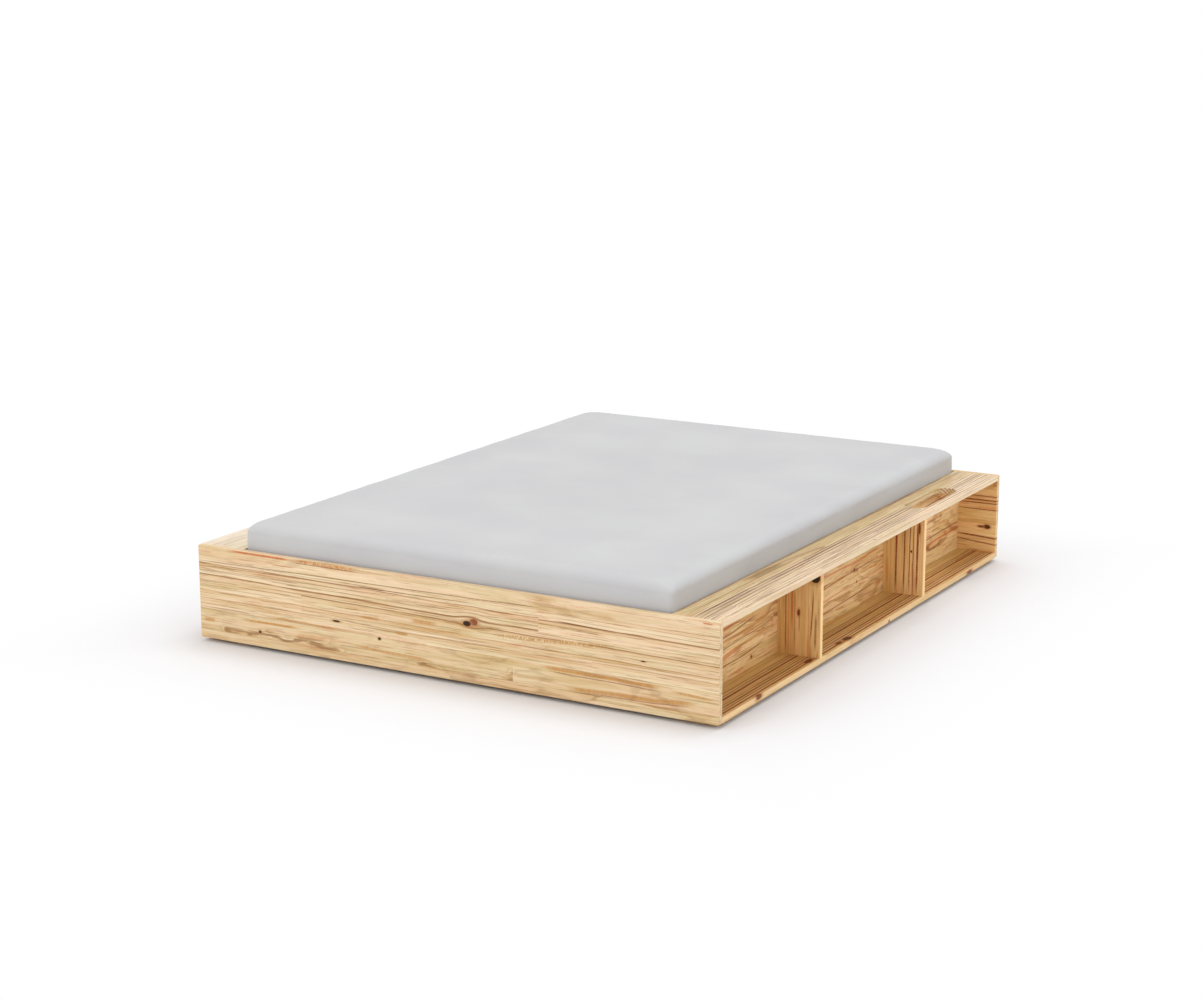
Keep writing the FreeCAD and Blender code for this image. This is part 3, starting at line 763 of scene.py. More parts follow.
@dataclass(frozen=True)
class Metal:
    """Zinc-plated or cast metal with a faint bloom and fine scratches."""

    bright: Colour = paint(196, 198, 202)
    dull: Colour = paint(150, 153, 158)
    rough: float = 0.32

    def material(self, name: str) -> bpy.types.Material:
        """Build the material.

        Args:
            name: Name of the material.

        Returns:
            The finished material.
        """
        graph = Graph(bpy.data.materials.new(name))
        spot = graph.spot(*Axis)
        bloom = spot.noise((0.12, 0.12, 0.12), detail=4.0)
        scratch = spot.noise((1.8, 0.3, 1.8))
        colour = graph.blend(graph.rise(bloom, 0.35, 0.7), self.bright, self.dull)
        rough = self.rough + bloom * 0.12 + scratch * 0.08
        return graph.finish({"Base Color": colour, "Metallic": 1.0, "Roughness": rough},
                            relief=scratch, height=0.00004)


@dataclass(frozen=True)
class Moulded:
    """Dark moulded plastic with a fine grain."""

    body: Colour = paint(54, 46, 40)
    scuff: Colour = paint(92, 84, 76)

    def material(self, name: str) -> bpy.types.Material:
        """Build the material.

        Args:
            name: Name of the material.

        Returns:
            The finished material.
        """
        graph = Graph(bpy.data.materials.new(name))
        spot = graph.spot(*Axis)
        grain = spot.noise((2.2, 2.2, 2.2))
        wear = spot.noise((0.15, 0.15, 0.5), detail=3.0)
        low = 1.0 - graph.rise(spot.depth, 0.5, 5.0)
        colour = graph.blend(graph.rise(wear, 0.5, 0.8) * low * 0.7, self.body, self.scuff)
        return graph.finish({"Base Color": colour, "Roughness": 0.5 + grain * 0.15},
                            relief=grain, height=0.00008)


# ------------------------------------------------------------------------------ the bed's pieces


def dress(frame: Mapping[str, Any], material: bpy.types.Material, *nodes: str) -> None:
    """Give solids of the frame a finish.

    Args:
        frame: What the frame loader returned.
        material: The finish.
        nodes: Names of the solids.
    """
    for node in nodes:
        piece = frame["nodes"][node]
        piece.data.materials.clear()
        piece.data.materials.append(material)
        log.info("dressed %s", node)


@dataclass
class EndBoards:
    """Foot board and head board, their grain across the bed."""

    frame: Mapping[str, Any]
    bottom: float = 12.0
    head_outside: float = 1012.0

    def foot_finish(self) -> Pine:
        """Front face that the photograph shows: long lines above, wavy bands below.

        Returns:
            The finish.
        """
        staves = (
            Stave(26, heart=40, below=12, pitch=12, waver=0.7),
            Stave(62, heart=-32, below=12, pitch=14, contrast=0.7, waver=0.9, joint=0.8885),
            Stave(34, heart=-300, below=40, tan=0.10, contrast=0.75, waver=0.16, joint=0.764),
            Stave(56, heart=-300, below=40, pitch=9.5, tan=0.15, contrast=0.85, waver=0.12,
                  joint=0.243),
            Stave(62, heart=-320, below=40, pitch=11, tan=0.15, contrast=1.0, waver=0.12,
                  joint=0.8475),
            Stave(40, heart=70, below=14, pitch=12, tan=0.10, waver=0.6, joint=0.1125))
        marks = (
            *streaks(Mark.RESIN, (-760, -500, 286, 4.0, 1.0, 0, 0.2),
                     (800, 838, 285, 2.6, 0.9, 0, 0)),
            *streaks(Mark.FLECKED, (-540, -270, 286, 6.5, 1.0, 0, 0.2)),
            *streaks(Mark.HATCHED, (150, 545, 171, 7.5, 0.95, 0.04)),
            *streaks(Mark.AMBER,
                     (-600, -500, 265, 2.4, 0.9, 0, 0.4), (-720, -480, 86, 5.0, 1.0, 0, 1.4),
                     (-846, -796, 70, 8.0, 0.9), (-166, -116, 124, 6.0, 1.0),
                     (-285, -205, 151, 6.0, 0.8), (-120, -15, 163, 8.0, 0.9),
                     (300, 700, 91, 7.5, 1.0, -0.01, 1.6), (380, 800, 49, 8.0, 0.95, 0.04, 2.2),
                     (700, 850, 80, 5.0, 0.9, -0.05), (-330, -20, 60, 6.0, 0.8, -0.03, 1.8),
                     (-620, -330, 104, 3.4, 0.9, 0, 1.6)),
            *streaks(Mark.BROWN,
                     (-540, -270, 280, 2.2, 0.7, 0, 0.2), (320, 690, 81, 2.5, 0.6, -0.01, 1.6),
                     (400, 790, 42, 2.2, 0.55, 0.04, 2.2), (-850, -640, 108, 3.0, 0.5, -0.02, 1.2)),
            *streaks(Mark.LINE,
                     (-300, -180, 238, 1.8, 0.95, 0, 0.2), (340, 560, 226, 2.2, 1.0, -0.03, 0.2),
                     (-850, 320, 252, 1.8, 0.75, 0.011, 0.3), (-850, 120, 237, 1.6, 0.65, 0.011, 0.3),
                     (-850, -180, 223, 1.6, 0.5, 0.011, 0.3)))
        knots = (Knot(98, 189, 17, 11, 0.0), Knot(76, 182, 15, 8.5, 1.0), Knot(-365, 127, 16, 3.6, 1.0),
                 Knot(-637, 57, 5.5, 4.5, 0.95), Knot(-217, 96, 5.5, 4.5, 0.95),
                 Knot(628, 155, 9, 2.4, 0.95))
        # Painted shade: the cast darkens the whole board, toning down the front face that the key lamp
        # lights brightly.
        return Pine(Axis.X, Axis.Z, Axis.Y, self.bottom, staves, joint_every=2000.0, seed=3,
                    streaks=marks, knots=knots, resin=0.3, line=paint(140, 92, 44),
                    cast=(0.89, 0.90, 0.96, 1.0))

    def head_finish(self) -> Pine:
        """Board whose inner face shows in the far compartment.

        Returns:
            The finish.
        """
        staves = (
            Stave(58, heart=50, below=14, pitch=14, tan=0.45, contrast=0.9, waver=0.6, joint=0.3),
            Stave(54, heart=-90, pitch=13, contrast=0.4, joint=0.7),
            Stave(62, heart=-150, below=40, pitch=14, tan=0.35, joint=0.1),
            Stave(56, heart=120, pitch=12, contrast=0.8, joint=0.9),
            Stave(50, heart=60, below=18, pitch=12, tan=0.35, contrast=0.8, waver=0.5))
        marks = streaks(
            Mark.BROWN, (690, 900, 204, 3.6, 0.95), (690, 900, 194, 2.6, 0.85),
            (690, 900, 172, 2.8, 0.9), (690, 900, 80, 4.5, 0.95, -0.06),
            (690, 900, 62, 3.4, 0.8, -0.08), (690, 900, 218, 2.6, 0.8),
            (-700, 700, 288, 4.0, 0.7, 0, 0.2))
        knots = (Knot(823, 115, 13, 8, 0.85), Knot(801, 114, 11, 4, 0.3),
                 Knot(-310, 160, 15, 11, 0.2), Knot(240, 90, 6, 5, 0.9))
        # Painted light and shade: the cast brightens and warms the inner face inside the far
        # compartment, and the outer cast darkens the outer face beyond head_outside.
        return Pine(Axis.X, Axis.Z, Axis.Y, self.bottom, staves, joint_every=560.0, seed=11,
                    streaks=marks, knots=knots, resin=0.6, share=0.34, line=paint(138, 70, 26),
                    cast=(1.15, 1.04, 0.86, 1.0), outer_painted_shade=(0.90, 0.91, 0.95, 1.0),
                    outer_from=self.head_outside)

    def build(self) -> None:
        """Dress both boards."""
        dress(self.frame, self.foot_finish().material("foot_board_pine"), "foot_board")
        dress(self.frame, self.head_finish().material("head_board_pine"), "head_board")


@dataclass
class ShelfUnit:
    """Open shelf unit along one side. Its streaks and knots are given for the right-hand one."""

    frame: Mapping[str, Any]
    side: Side
    inner: float = 702.0
    depth: float = 152.0
    board: float = 18.0
    shelf_floor: float = 30.0

    # A 3 mm pale strip at each board's open edge: partly the edge face's own light tone, partly a
    # painted highlight line along the edge.
    PALE_EDGE_AND_HIGHLIGHT = Stave(3, heart=300, below=40, pitch=14, tan=0.0, contrast=0.2, waver=0.2)

    def _across(self, staves: Sequence[Stave]) -> tuple[float, tuple[Stave, ...]]:
        """Turn strips that are given from the mattress outwards into strips by rising X.

        Args:
            staves: Strips of a board as deep as the unit.

        Returns:
            The unit's lowest X and the strips.
        """
        if self.side is Side.RIGHT:
            return self.inner, tuple(staves)
        return -self.inner - self.depth, tuple(reversed(staves))

    def _here(self, items: Sequence[Streak | Knot]) -> tuple[Streak | Knot, ...]:
        """Streaks or knots at their places on this unit."""
        return tuple(item.on(self.side) for item in items)

    def top_finish(self) -> Pine:
        """Top board: tan inner strip, a lined middle strip, a pale outer one.

        Returns:
            The finish.
        """
        edge, staves = self._across((
            Stave(56, heart=46, below=14, pitch=12, tan=0.75, joint=0.79),
            Stave(44, heart=-300, below=20, contrast=1.0, waver=0.15, joint=0.4),
            Stave(49, heart=-300, below=24, pitch=8, tan=0.05, contrast=1.0, waver=0.2, joint=0.1),
            self.PALE_EDGE_AND_HIGHLIGHT))
        if self.side is Side.LEFT:
            # Painted sheen: the cast below makes the left top board paler and bluer, a painted
            # reflection of the white surround on top of its real lacquer.
            return Pine(Axis.Y, Axis.X, Axis.Z, edge, staves, joint_every=720.0, seed=23, resin=0.1,
                        lacquer=1.0, cast=(0.99, 1.12, 1.42, 1.0))
        marks = (
            *streaks(Mark.OLIVE, (-610, -370, 729, 17.0, 1.0, 0, 0.2)),
            *streaks(Mark.LINE,
                     (-1007, -640, 768, 3.4, 1.0, 0, 0.1), (-1007, -640, 780, 2.6, 0.9, 0, 0.1),
                     (-690, 445, 771, 3.4, 1.0, 0, 0.25), (-560, 600, 784, 2.8, 0.9, 0, 0.3),
                     (-1000, 900, 706, 3.0, 0.8, 0, 0.2), (-1000, -300, 740, 2.4, 0.7, 0, 0.3),
                     (-1000, -600, 812, 2.8, 0.7), (-1000, -500, 796, 2.4, 0.7, 0, 0.3),
                     (-900, -650, 842, 2.4, 0.7), (-400, 400, 808, 2.6, 0.7),
                     (-300, 800, 826, 2.4, 0.7, 0, 0.3), (500, 1000, 838, 2.4, 0.8, 0, 0.2)))
        # Painted shade: the cast below tones the board down to how brightly its top is lit.
        return Pine(Axis.Y, Axis.X, Axis.Z, edge, staves, joint_every=780.0, seed=5, streaks=marks,
                    knots=(Knot(3, 846, 5, 3, 0.9),), resin=0.15, lacquer=0.5, share=0.38,
                    line=paint(112, 62, 30), cast=(0.91, 0.91, 0.96, 1.0))

    def bottom_finish(self) -> Pine:
        """Bottom board, with the knots that show at its open edge.

        Returns:
            The finish.
        """
        # Partly the wood's tone, partly painted shade: the strips grow tanner and plainer towards the
        # back panel, in the shaded recess under the top board.
        edge, staves = self._across((
            Stave(62, heart=88, below=16, pitch=15, tan=0.85, contrast=0.2, joint=0.3),
            Stave(44, heart=-300, below=24, pitch=14, tan=0.75, contrast=0.5, waver=0.3, joint=0.8),
            Stave(43, heart=-300, below=24, pitch=13, tan=0.45, contrast=0.5, waver=0.3, joint=0.6),
            self.PALE_EDGE_AND_HIGHLIGHT))
        lines = ((Mark.BROWN, 764, 5.0, 0.6), (Mark.BROWN, 776, 2.6, 0.8), (Mark.BROWN, 787, 5.4, 1.0),
                 (Mark.AMBER, 799, 3.4, 1.0), (Mark.BROWN, 808, 2.4, 0.9), (Mark.BROWN, 818, 5.0, 0.8),
                 (Mark.BROWN, 829, 2.8, 1.0), (Mark.BROWN, 840, 5.0, 0.95))
        marks = [Streak(mark, -1300, 1300, across, half, strength, bend=0.6)
                 for mark, across, half, strength in lines]
        knots = (Knot(-165, 838, 26, 12, 0.7), Knot(-220, 836, 18, 8, 0.4), Knot(-428, 836, 26, 10),
                 Knot(-785, 852, 22, 8, 0.1, 26), Knot(775, 852, 26, 7, 0.0, 18),
                 Knot(111, 853, 5, 4, 0.9, 16))
        # Painted shade and warm bounced light: the cast below darkens the bay floor and makes it more
        # orange.
        return Pine(Axis.Y, Axis.X, Axis.Z, edge, staves, joint_every=700.0, seed=7,
                    streaks=self._here(marks), knots=self._here(knots), resin=0.4, share=0.40,
                    line=paint(120, 56, 6), cast=(0.94, 0.86, 0.72, 1.0))

    def panel_finish(self) -> Pine:
        """Back panel: flat-sawn strips with orange resin, and with brown lines where they show.

        Returns:
            The finish.
        """
        staves = (
            Stave(62, heart=54, below=14, pitch=14, tan=0.35, contrast=0.85, waver=1.0, joint=0.2),
            Stave(58, heart=-62, below=14, pitch=12, tan=0.20, contrast=0.85, waver=1.0, joint=0.7),
            Stave(66, heart=60, below=12, pitch=13, tan=0.25, contrast=0.85, waver=1.0, joint=0.45),
            Stave(58, heart=-70, below=14, pitch=12, tan=0.25, contrast=0.85, waver=1.0, joint=0.95))
        seen = self.side is Side.RIGHT
        marks = (
            *streaks(Mark.RESIN,
                     (-1000, -560, 246, 8.0, 0.85, 0.03, 1.5), (-880, -620, 182, 9.0, 0.6, 0.05, 3),
                     (-960, -600, 96, 9.0, 0.7, 0.07, 3), (-360, 60, 258, 5.0, 0.75, 0, 0.8),
                     (-370, 360, 100, 4.0, 0.6, 0.02, 2), (400, 1100, 92, 6.0, 0.9, 0.05, 3),
                     (400, 860, 200, 3.6, 0.7, 0.02, 2), (-240, 360, 176, 5.0, 0.7, 0.02, 3)),
            *streaks(Mark.AMBER,
                     (-760, -430, 150, 8.0, 0.8, 0.04, 3), (-700, -420, 112, 6.0, 0.8, 0.05, 2)))
        if seen:
            marks += streaks(
                Mark.BROWN, (-360, 340, 66, 3.0, 0.7, 0.02, 2), (400, 1100, 112, 3.2, 0.85, 0.04, 3),
                (420, 900, 168, 2.8, 0.7, 0.03, 3), (440, 1100, 232, 3.0, 0.8, 0.04, 2),
                (-1000, -420, 226, 2.8, 0.8, 0.03, 2.5), (-980, -520, 160, 3.2, 0.8, 0.05, 3),
                (-1000, -460, 76, 3.4, 0.8, 0.05, 3), (-820, -420, 128, 2.8, 0.7, 0.04, 3),
                (-370, 120, 214, 3.0, 0.7, 0.02, 3), (-370, 340, 140, 3.0, 0.75, 0.03, 3),
                (-100, 370, 240, 2.6, 0.7, 0, 1.5))
        knots = (Knot(40, 236, 5, 4, 0.95), Knot(150, 150, 7, 6, 0.35), Knot(170, 108, 5, 4, 0.6),
                 Knot(-560, 60, 6, 5, 0.3))
        # Painted warm light: the cast below makes the back panel more orange, standing in for light
        # bounced round the compartment.
        return Pine(Axis.Y, Axis.Z, Axis.X, self.shelf_floor, staves, joint_every=600.0,
                    seed=13 if seen else 61, streaks=marks, knots=knots, resin=0.9, resin_size=1.5,
                    share=0.46, line=paint(132, 66, 22), cast=(1.0, 0.91, 0.76, 1.0))

    def divider_finish(self, head_end: bool) -> Pine:
        """Upright divider, its grain vertical.

        Args:
            head_end: Whether it is the divider towards the head board.

        Returns:
            The finish.
        """
        edge = min(x * self.side.value for x in (self.inner + self.board, self.inner + self.depth))
        if head_end:
            plan = (Stave(38, heart=200, below=20, pitch=12, tan=0.5, contrast=0.15, waver=0.2),
                    Stave(44, heart=200, below=20, pitch=12, tan=0.2, contrast=0.4, waver=0.2),
                    Stave(49, heart=-200, below=16, pitch=11, tan=0.2, contrast=0.45, waver=0.2),
                    self.PALE_EDGE_AND_HIGHLIGHT)
            marks = streaks(Mark.BROWN, *(
                (20, 290, across, half, 0.95, 0, 0.3) for across, half in (
                    (763, 4.2), (790, 3.6), (808, 2.6), (820, 2.0), (833, 4.4))))
            knots = (Knot(169, 813, 4, 3, 0.9), Knot(245, 838, 20, 4, 0.3))
        else:
            plan = (Stave(26, heart=200, below=20, pitch=12, tan=0.6, contrast=0.15, waver=0.2),
                    Stave(26, heart=200, below=14, pitch=12, tan=0.45, contrast=0.5, waver=0.3),
                    Stave(44, heart=-50, below=12, pitch=14, contrast=0.2, waver=0.5),
                    Stave(35, heart=50, below=8, pitch=12, tan=0.45, waver=0.5),
                    self.PALE_EDGE_AND_HIGHLIGHT)
            marks = (
                *streaks(Mark.RESIN, (20, 290, 755, 2.0, 0.8, 0, 0.4),
                         (100, 290, 765, 4.5, 0.9, 0, 0.6)),
                *streaks(Mark.BROWN,
                         (60, 240, 826, 3.0, 0.9, 0.05), (40, 170, 838, 5.0, 0.7),
                         (90, 180, 786, 3.0, 0.55), (20, 290, 746, 2.4, 0.9, 0, 0.2),
                         (20, 250, 773, 1.6, 0.6, 0, 0.4)))
            knots = (Knot(265, 836, 17, 16, 1.0), Knot(157, 786, 11, 5, 0.3))
        staves = plan if self.side is Side.RIGHT else tuple(reversed(plan))
        # Painted light: the cast below makes the dividers brighter and warmer, to how the inside of the
        # compartments is lit.
        return Pine(Axis.Z, Axis.X, Axis.Y, edge, staves, joint_every=4000.0,
                    seed=17 if head_end else 19, streaks=self._here(marks), knots=self._here(knots),
                    resin=0.5, share=0.34, line=paint(128, 62, 20), cast=(1.12, 1.0, 0.80, 1.0))

    def build(self) -> None:
        """Dress every board of the unit."""
        word = self.side.word
        finishes = {
            "top_board": self.top_finish(),
            "bottom_board": self.bottom_finish(),
            "back_panel": self.panel_finish(),
            "foot_end_divider": self.divider_finish(head_end=False),
            "head_end_divider": self.divider_finish(head_end=True),
        }
        for name, finish in finishes.items():
            dress(self.frame, finish.material(f"{word}_{name}_pine"), f"{word}_{name}")


@dataclass
class Carrier:
    """Battens, centre beam, legs and hangers below the slats."""

    frame: Mapping[str, Any]
    bottom: float = 123.0
    height: float = 80.0
    leg_width: float = 60.0

    def build(self) -> None:
        """Dress the planed timber and the sheet steel."""
        batten = Pine(Axis.Y, Axis.Z, Axis.X, self.bottom, mixed_staves(31, self.height, 1), seed=31,
                      lacquer=0.0)
        beam = Pine(Axis.Y, Axis.Z, Axis.X, self.bottom, mixed_staves(37, self.height, 1), seed=37,
                    lacquer=0.0, knots=(Knot(-420, 160, 14, 9, 0.3), Knot(510, 150, 8, 6, 0.8)))
        leg = Pine(Axis.Z, Axis.X, Axis.Y, -self.leg_width / 2, mixed_staves(41, self.leg_width, 1),
                   seed=41, lacquer=0.0)
        dress(self.frame, batten.material("batten_pine"), "right_slat_batten", "left_slat_batten")
        dress(self.frame, beam.material("beam_pine"), "centre_beam")
        dress(self.frame, leg.material("leg_pine"), "centre_leg_1", "centre_leg_2")
        dress(self.frame, Metal(rough=0.38).material("hanger_steel"), "foot_beam_hanger",
              "head_beam_hanger")


@dataclass
class SlattedBase:
    """Slats in their webbing."""

    frame: Mapping[str, Any]
    count: int = 14
    slat: float = 80.0
    reach: float = 985.0

    def build(self) -> None:
        """Dress the slats, the straps and the staples."""
        pitch = (2 * self.reach - self.slat) / (self.count - 1)
        dice = random.Random(43)
        start = -self.reach - (pitch - self.slat) / 2
        staves = tuple(Stave(pitch, heart=dice.choice((-1, 1)) * dice.uniform(20, 160),
                             below=dice.uniform(8, 50), pitch=dice.uniform(5, 10),
                             tan=dice.uniform(0.1, 0.55), contrast=dice.uniform(0.4, 0.8))
                       for _ in range(self.count))
        knots = tuple(Knot(dice.uniform(-600, 600),
                           start + pitch * (index + 0.5) + dice.uniform(-25, 25),
                           dice.uniform(6, 14), dice.uniform(4, 9), dice.random())
                      for index in range(0, self.count, 2))
        pine = Pine(Axis.X, Axis.Y, Axis.Z, start, staves, joint_every=5000.0, seed=43, knots=knots,
                    lacquer=0.0)
        names = [f"slat_{number:02d}" for number in range(1, self.count + 1)]
        dress(self.frame, pine.material("slat_pine"), *names)
        dress(self.frame, Webbing().material("strap_webbing"), "left_webbing_strap",
              "right_webbing_strap")
        dress(self.frame, Metal(rough=0.25).material("staple_wire"), "webbing_staples")


@dataclass
class Fasteners:
    """Screws, bolts, cams, dowels and glides."""

    frame: Mapping[str, Any]
    reach: float = 900.0

    def build(self) -> None:
        """Dress every small part."""
        steel = Metal(rough=0.28).material("screw_steel")
        dress(self.frame, steel, "cam_bolts", "unit_screws", "batten_screws", "hanger_screws",
              "leg_studs", "glide_screws")
        cast = Metal(bright=paint(168, 170, 172), dull=paint(128, 130, 132), rough=0.45)
        dress(self.frame, cast.material("cam_zinc"), "cam_discs")
        beech = Pine(Axis.Y, Axis.X, Axis.Z, -self.reach, mixed_staves(47, 2 * self.reach, 12), seed=47,
                     lacquer=0.0, cast=(0.95, 0.78, 0.62, 1.0))
        dress(self.frame, beech.material("dowel_beech"), "wood_dowels")
        glides = [f"{side}_glide_{number}" for side in ("right", "left") for number in range(1, 5)]
        glides += ["centre_glide_1", "centre_glide_2"]
        dress(self.frame, Moulded().material("glide_plastic"), *glides)


@dataclass
class Mattress:
    """Foam mattress in a knitted cover, modelled as a soft crowned form."""

    frame: Mapping[str, Any]
    half_width: float = 0.700
    half_length: float = 1.000
    bottom: float = 0.212
    top: float = 0.372
    corner: float = 0.016
    soft_corner: float = 0.042
    top_edge: float = 0.034
    bottom_edge: float = 0.012
    crown: float = 0.002
    waist: float = 0.002
    pucker: float = 0.005

    CORNER_STEPS = 8
    LONG_STEPS = 88
    SHORT_STEPS = 60
    BOTTOM_STEPS = 6
    SIDE_STEPS = 8
    TOP_STEPS = 9
    INSETS = (0.03, 0.07, 0.12, 0.19, 0.28, 0.39, 0.51, 0.63, 0.69)
    FOLDS = 9.0
    FINE_FOLDS = 23.0

    def profile(self) -> list[tuple[float, float]]:
        """Lay out the rings up the side and over the shoulder.

        Returns:
            How far each ring is drawn in, and its height.
        """
        shoulder = self.top - self.crown
        middle, half = (self.bottom + shoulder) / 2, (shoulder - self.bottom) / 2
        rings = []
        for step in range(self.BOTTOM_STEPS + 1):
            turn = math.radians(90 * step / self.BOTTOM_STEPS)
            rings.append((self.bottom_edge * (1 - math.sin(turn)),
                          self.bottom + self.bottom_edge * (1 - math.cos(turn))))
        low, high = self.bottom + self.bottom_edge, shoulder - self.top_edge
        rings += [(0.0, low + (high - low) * step / self.SIDE_STEPS)
                  for step in range(1, self.SIDE_STEPS)]
        for step in range(self.TOP_STEPS + 1):
            turn = math.radians(90 * step / self.TOP_STEPS)
            rings.append((self.top_edge * (1 - math.cos(turn)),
                          shoulder - self.top_edge * (1 - math.sin(turn))))
        return [(draw + self.waist * ((z - middle) / half) ** 2, z) for draw, z in rings]

    def outline(self, draw: float, z: float) -> list[Vector]:
        """Go round the mattress at one height.

        Args:
            draw: How far the outline is drawn in.
            z: The height.

        Returns:
            The outline's points.
        """
        half_x, half_y = self.half_width - draw, self.half_length - draw
        radius = min(self.corner + draw, self.soft_corner)
        points = []
        for quarter, (side_x, side_y) in enumerate(((1, 1), (-1, 1), (-1, -1), (1, -1))):
            centre = Vector((side_x * (half_x - radius), side_y * (half_y - radius), z))
            for step in range(self.CORNER_STEPS + 1):
                turn = math.radians(90 * quarter + 90 * step / self.CORNER_STEPS)
                points.append(centre + Vector((math.cos(turn), math.sin(turn), 0)) * radius)
        return self._filled(points)

    def _filled(self, points: list[Vector]) -> list[Vector]:
        """Add points along the straight runs between the corners.

        Args:
            points: Points of the four corners.

        Returns:
            All the points.
        """
        filled = []
        for index, point in enumerate(points):
            following = points[(index + 1) % len(points)]
            filled.append(point)
            if index % (self.CORNER_STEPS + 1) == self.CORNER_STEPS:
                long_run = abs(following.x - point.x) < abs(following.y - point.y)
                count = self.LONG_STEPS if long_run else self.SHORT_STEPS
                filled += [point.lerp(following, step / count) for step in range(1, count)]
        return filled

    def shell(self) -> bpy.types.Object:
        """Make the closed soft form: side rings, a crowned top and a flat base.

        Returns:
            The form, linked to the scene.
        """
        mesh = bmesh.new()
        rings = []
        for draw, z in self.profile():
            rings.append([mesh.verts.new(point) for point in self.outline(draw, z)])
        base = self.profile()[0][0]
        for draw in self.INSETS:
            height = self.top - self.crown * (1 - draw / self.half_width) ** 2
            ring = self._inset(draw + self.top_edge * 0.9, height)
            rings.append([mesh.verts.new(point) for point in ring])
        below = [[mesh.verts.new(point) for point in self._inset(base + draw, self.bottom)]
                 for draw in self.INSETS]
        self._skin(mesh, rings)
        self._skin(mesh, [rings[0]] + below, flip=True)
        mesh.faces.new(rings[-1])
        mesh.faces.new(list(reversed(below[-1])))
        mesh.normal_update()
        self._pucker(mesh)
        data = bpy.data.meshes.new("mattress_form")
        mesh.to_mesh(data)
        mesh.free()
        piece = bpy.data.objects.new("mattress_form", data)
        bpy.context.scene.collection.objects.link(piece)
        return piece

    def _pucker(self, mesh: bmesh.types.BMesh) -> None:
        """Fill the shoulder out unevenly, as a stretched cover does, inside the mattress's own box.

        Args:
            mesh: The form.
        """
        low = self.top - self.crown - self.top_edge
        for vertex in mesh.verts:
            rise = (vertex.co.z - low) / self.top_edge
            if not 0.0 < rise < 1.05 or vertex.normal.z > 0.995:
                continue
            slope = 4 * max(vertex.normal.z, 0.0) * (1 - vertex.normal.z)
            fold = 0.5 + 0.5 * noise.noise(vertex.co * self.FOLDS)
            fold += 0.35 * noise.noise(vertex.co * self.FINE_FOLDS)
            vertex.co += vertex.normal * (self.pucker * slope * min(max(fold, 0.0), 1.0))

    def _inset(self, draw: float, z: float) -> list[Vector]:
        """Go round further in, the corners tightening towards the middle.

        Args:
            draw: How far the outline is drawn in.
            z: The height.

        Returns:
            The outline's points.
        """
        half_x = max(self.half_width - draw, 0.002)
        half_y = self.half_length - self.half_width + half_x
        radius = min(self.soft_corner, half_x * 0.9)
        inside = Mattress(self.frame, half_width=half_x, half_length=half_y, corner=radius,
                          soft_corner=radius)
        return inside.outline(0.0, z)

    @staticmethod
    def _skin(mesh: bmesh.types.BMesh, rings: Sequence[Sequence[bmesh.types.BMVert]],
              flip: bool = False) -> None:
        """Join rings with faces.

        Args:
            mesh: The form.
            rings: Rings of the same count, from the first to the last.
            flip: Whether the faces look the other way.
        """
        for lower, upper in zip(rings, rings[1:]):
            count = len(lower)
            for index in range(count):
                face = [lower[index], lower[(index + 1) % count], upper[(index + 1) % count],
                        upper[index]]
                mesh.faces.new(reversed(face) if flip else face)

    def build(self) -> None:
        """Model the mattress, finish it and let it ride on its body."""
        piece = self.shell()
        piece.name = "mattress"
        for face in piece.data.polygons:
            face.use_smooth = True
        piece.data.materials.append(Knit().material("mattress_knit"))
        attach(piece, "mattress")
        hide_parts("mattress_cover", "mattress_core")
        log.info("modelled %s", piece.name)


# ------------------------------------------------------------------------------ studio


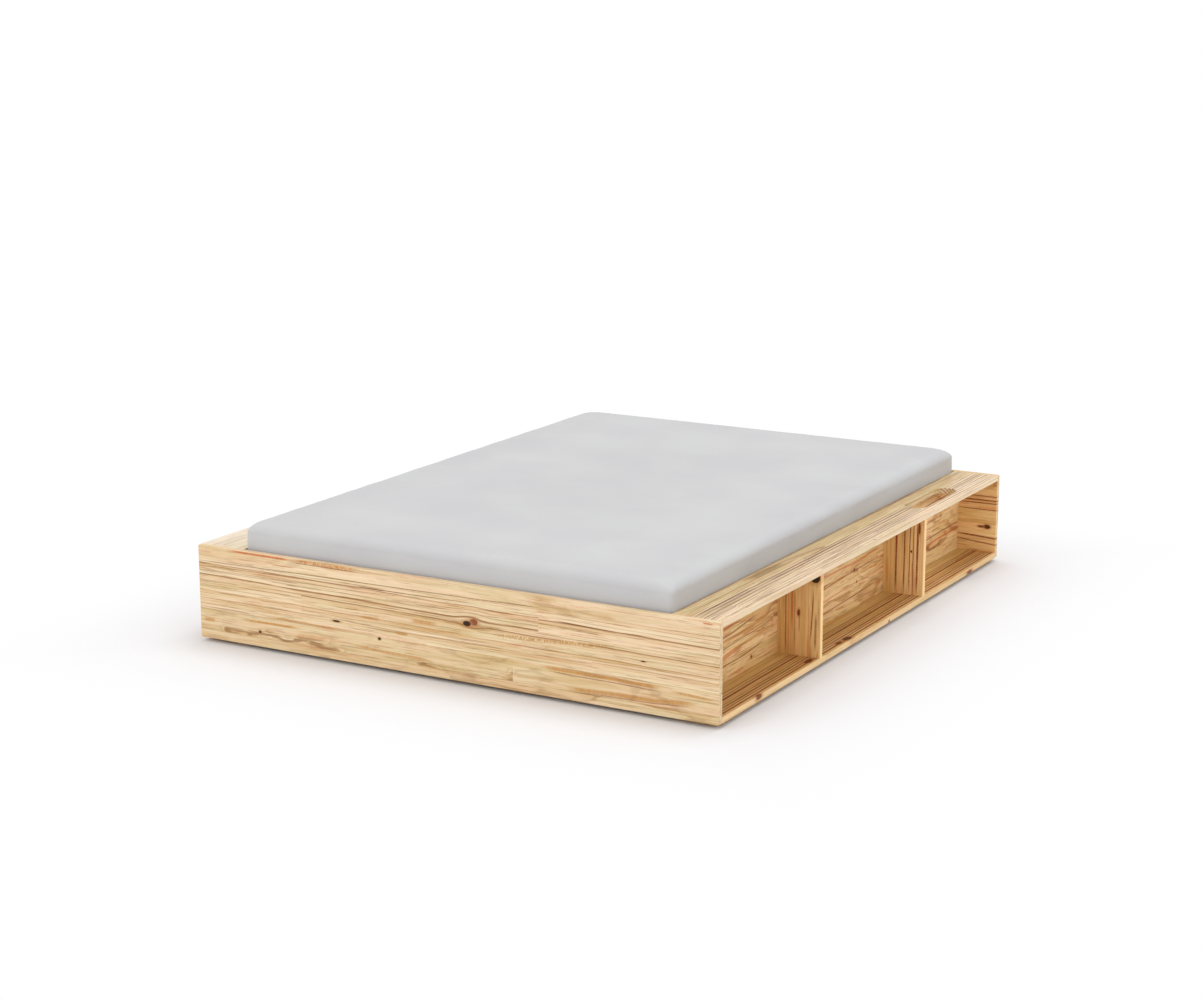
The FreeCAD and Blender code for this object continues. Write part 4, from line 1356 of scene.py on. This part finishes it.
@dataclass
class Studio:
    """Pale floor, soft light and the photograph's camera."""

    camera_place: Triple = (3.5743, -6.4648, 2.0248)
    azimuth: float = 29.473
    elevation: float = 13.027
    lens: float = 72.968
    sensor: float = 36.0
    sky: float = 0.90
    floor_size: float = 60.0
    half_width: float = 854.0
    half_length: float = 1025.0
    fade: float = 640.0

    def camera(self) -> None:
        """Stand the camera where the photograph was taken from."""
        data = bpy.data.cameras.new("camera")
        data.lens, data.sensor_width, data.sensor_fit = self.lens, self.sensor, "HORIZONTAL"
        data.clip_end = 200.0
        viewer = bpy.data.objects.new("camera", data)
        turn, down = math.radians(self.azimuth), math.radians(self.elevation)
        forward = Vector((-math.sin(turn) * math.cos(down), math.cos(turn) * math.cos(down),
                          -math.sin(down)))
        viewer.location = self.camera_place
        viewer.rotation_euler = forward.to_track_quat("-Z", "Y").to_euler()
        bpy.context.scene.collection.objects.link(viewer)
        bpy.context.scene.camera = viewer

    def world(self) -> None:
        """White surround for the camera, plain light for everything else."""
        graph = Graph(bpy.data.worlds.new("surround"))
        rays = graph.add("ShaderNodeLightPath", output="Is Camera Ray")
        light = graph.add("ShaderNodeBackground", None, {"Color": WHITE, "Strength": self.sky})
        white = graph.add("ShaderNodeBackground", None, {"Color": WHITE, "Strength": 1.0})
        mixed = graph.add("ShaderNodeMixShader", None, {0: rays, 1: light, 2: white})
        graph.add("ShaderNodeOutputWorld", None, {"Surface": mixed})
        bpy.context.scene.world = graph.owner

    def floor(self) -> None:
        """Large pale floor that keeps the bed's shadow and fades to white away from it."""
        bpy.ops.mesh.primitive_plane_add(size=self.floor_size)
        floor = bpy.context.active_object
        floor.name = "floor"
        graph = Graph(bpy.data.materials.new("floor_white"))
        rays = graph.add("ShaderNodeLightPath", output="Is Camera Ray")
        plain = graph.add("ShaderNodeBsdfDiffuse", None, {"Color": (0.86, 0.86, 0.86, 1.0)})
        seen = graph.add("ShaderNodeBsdfDiffuse", None, {"Color": (0.80, 0.795, 0.81, 1.0)})
        spot = graph.spot(*Axis)
        gap = (abs(spot.along) - self.half_width).largest(abs(spot.across) - self.half_length)
        white = graph.add("ShaderNodeEmission", None, {"Color": WHITE, "Strength": 1.0})
        faded = graph.add("ShaderNodeMixShader", None,
                          {0: graph.rise(gap, 0.0, self.fade), 1: seen, 2: white})
        mixed = graph.add("ShaderNodeMixShader", None, {0: rays, 1: plain, 2: faded})
        graph.add("ShaderNodeOutputMaterial", None, {"Surface": mixed})
        floor.data.materials.append(graph.owner)

    def lamp(self, name: str, place: Triple, size: float, power: float,
             tint: Triple = (1.0, 1.0, 1.0)) -> None:
        """Hang a square soft lamp that looks at the bed.

        Args:
            name: Name of the lamp.
            place: Where it hangs.
            size: Length of its side.
            power: Its power in watts.
            tint: Colour of its light.
        """
        data = bpy.data.lights.new(name, "AREA")
        data.shape, data.size, data.energy, data.color = "SQUARE", size, power, tint
        lamp = bpy.data.objects.new(name, data)
        lamp.location = place
        lamp.rotation_euler = (Vector((0, 0, 0.2)) - Vector(place)).to_track_quat("-Z", "Y").to_euler()
        bpy.context.scene.collection.objects.link(lamp)

    def build(self) -> None:
        """Set up floor, light, camera and colour handling."""
        self.floor()
        self.world()
        self.lamp("key", (-1.5, -6.5, 3.5), 4.0, 85.0)
        self.lamp("fill", (7.0, 0.5, 3.5), 4.0, 62.0, (0.82, 0.91, 1.0))
        self.lamp("top", (0.5, 1.6, 9.0), 4.5, 216.0)
        self.camera()
        bpy.context.scene.view_settings.view_transform = "Standard"
        log.info("set up the studio")


def main() -> None:
    """Load the frame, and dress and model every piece."""
    logging.basicConfig(level=logging.INFO, format="%(message)s")
    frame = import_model()
    EndBoards(frame).build()
    for side in Side:
        ShelfUnit(frame, side).build()
    Carrier(frame).build()
    SlattedBase(frame).build()
    Fasteners(frame).build()
    Mattress(frame).build()
    Studio().build()


if __name__ == "__main__":
    main()
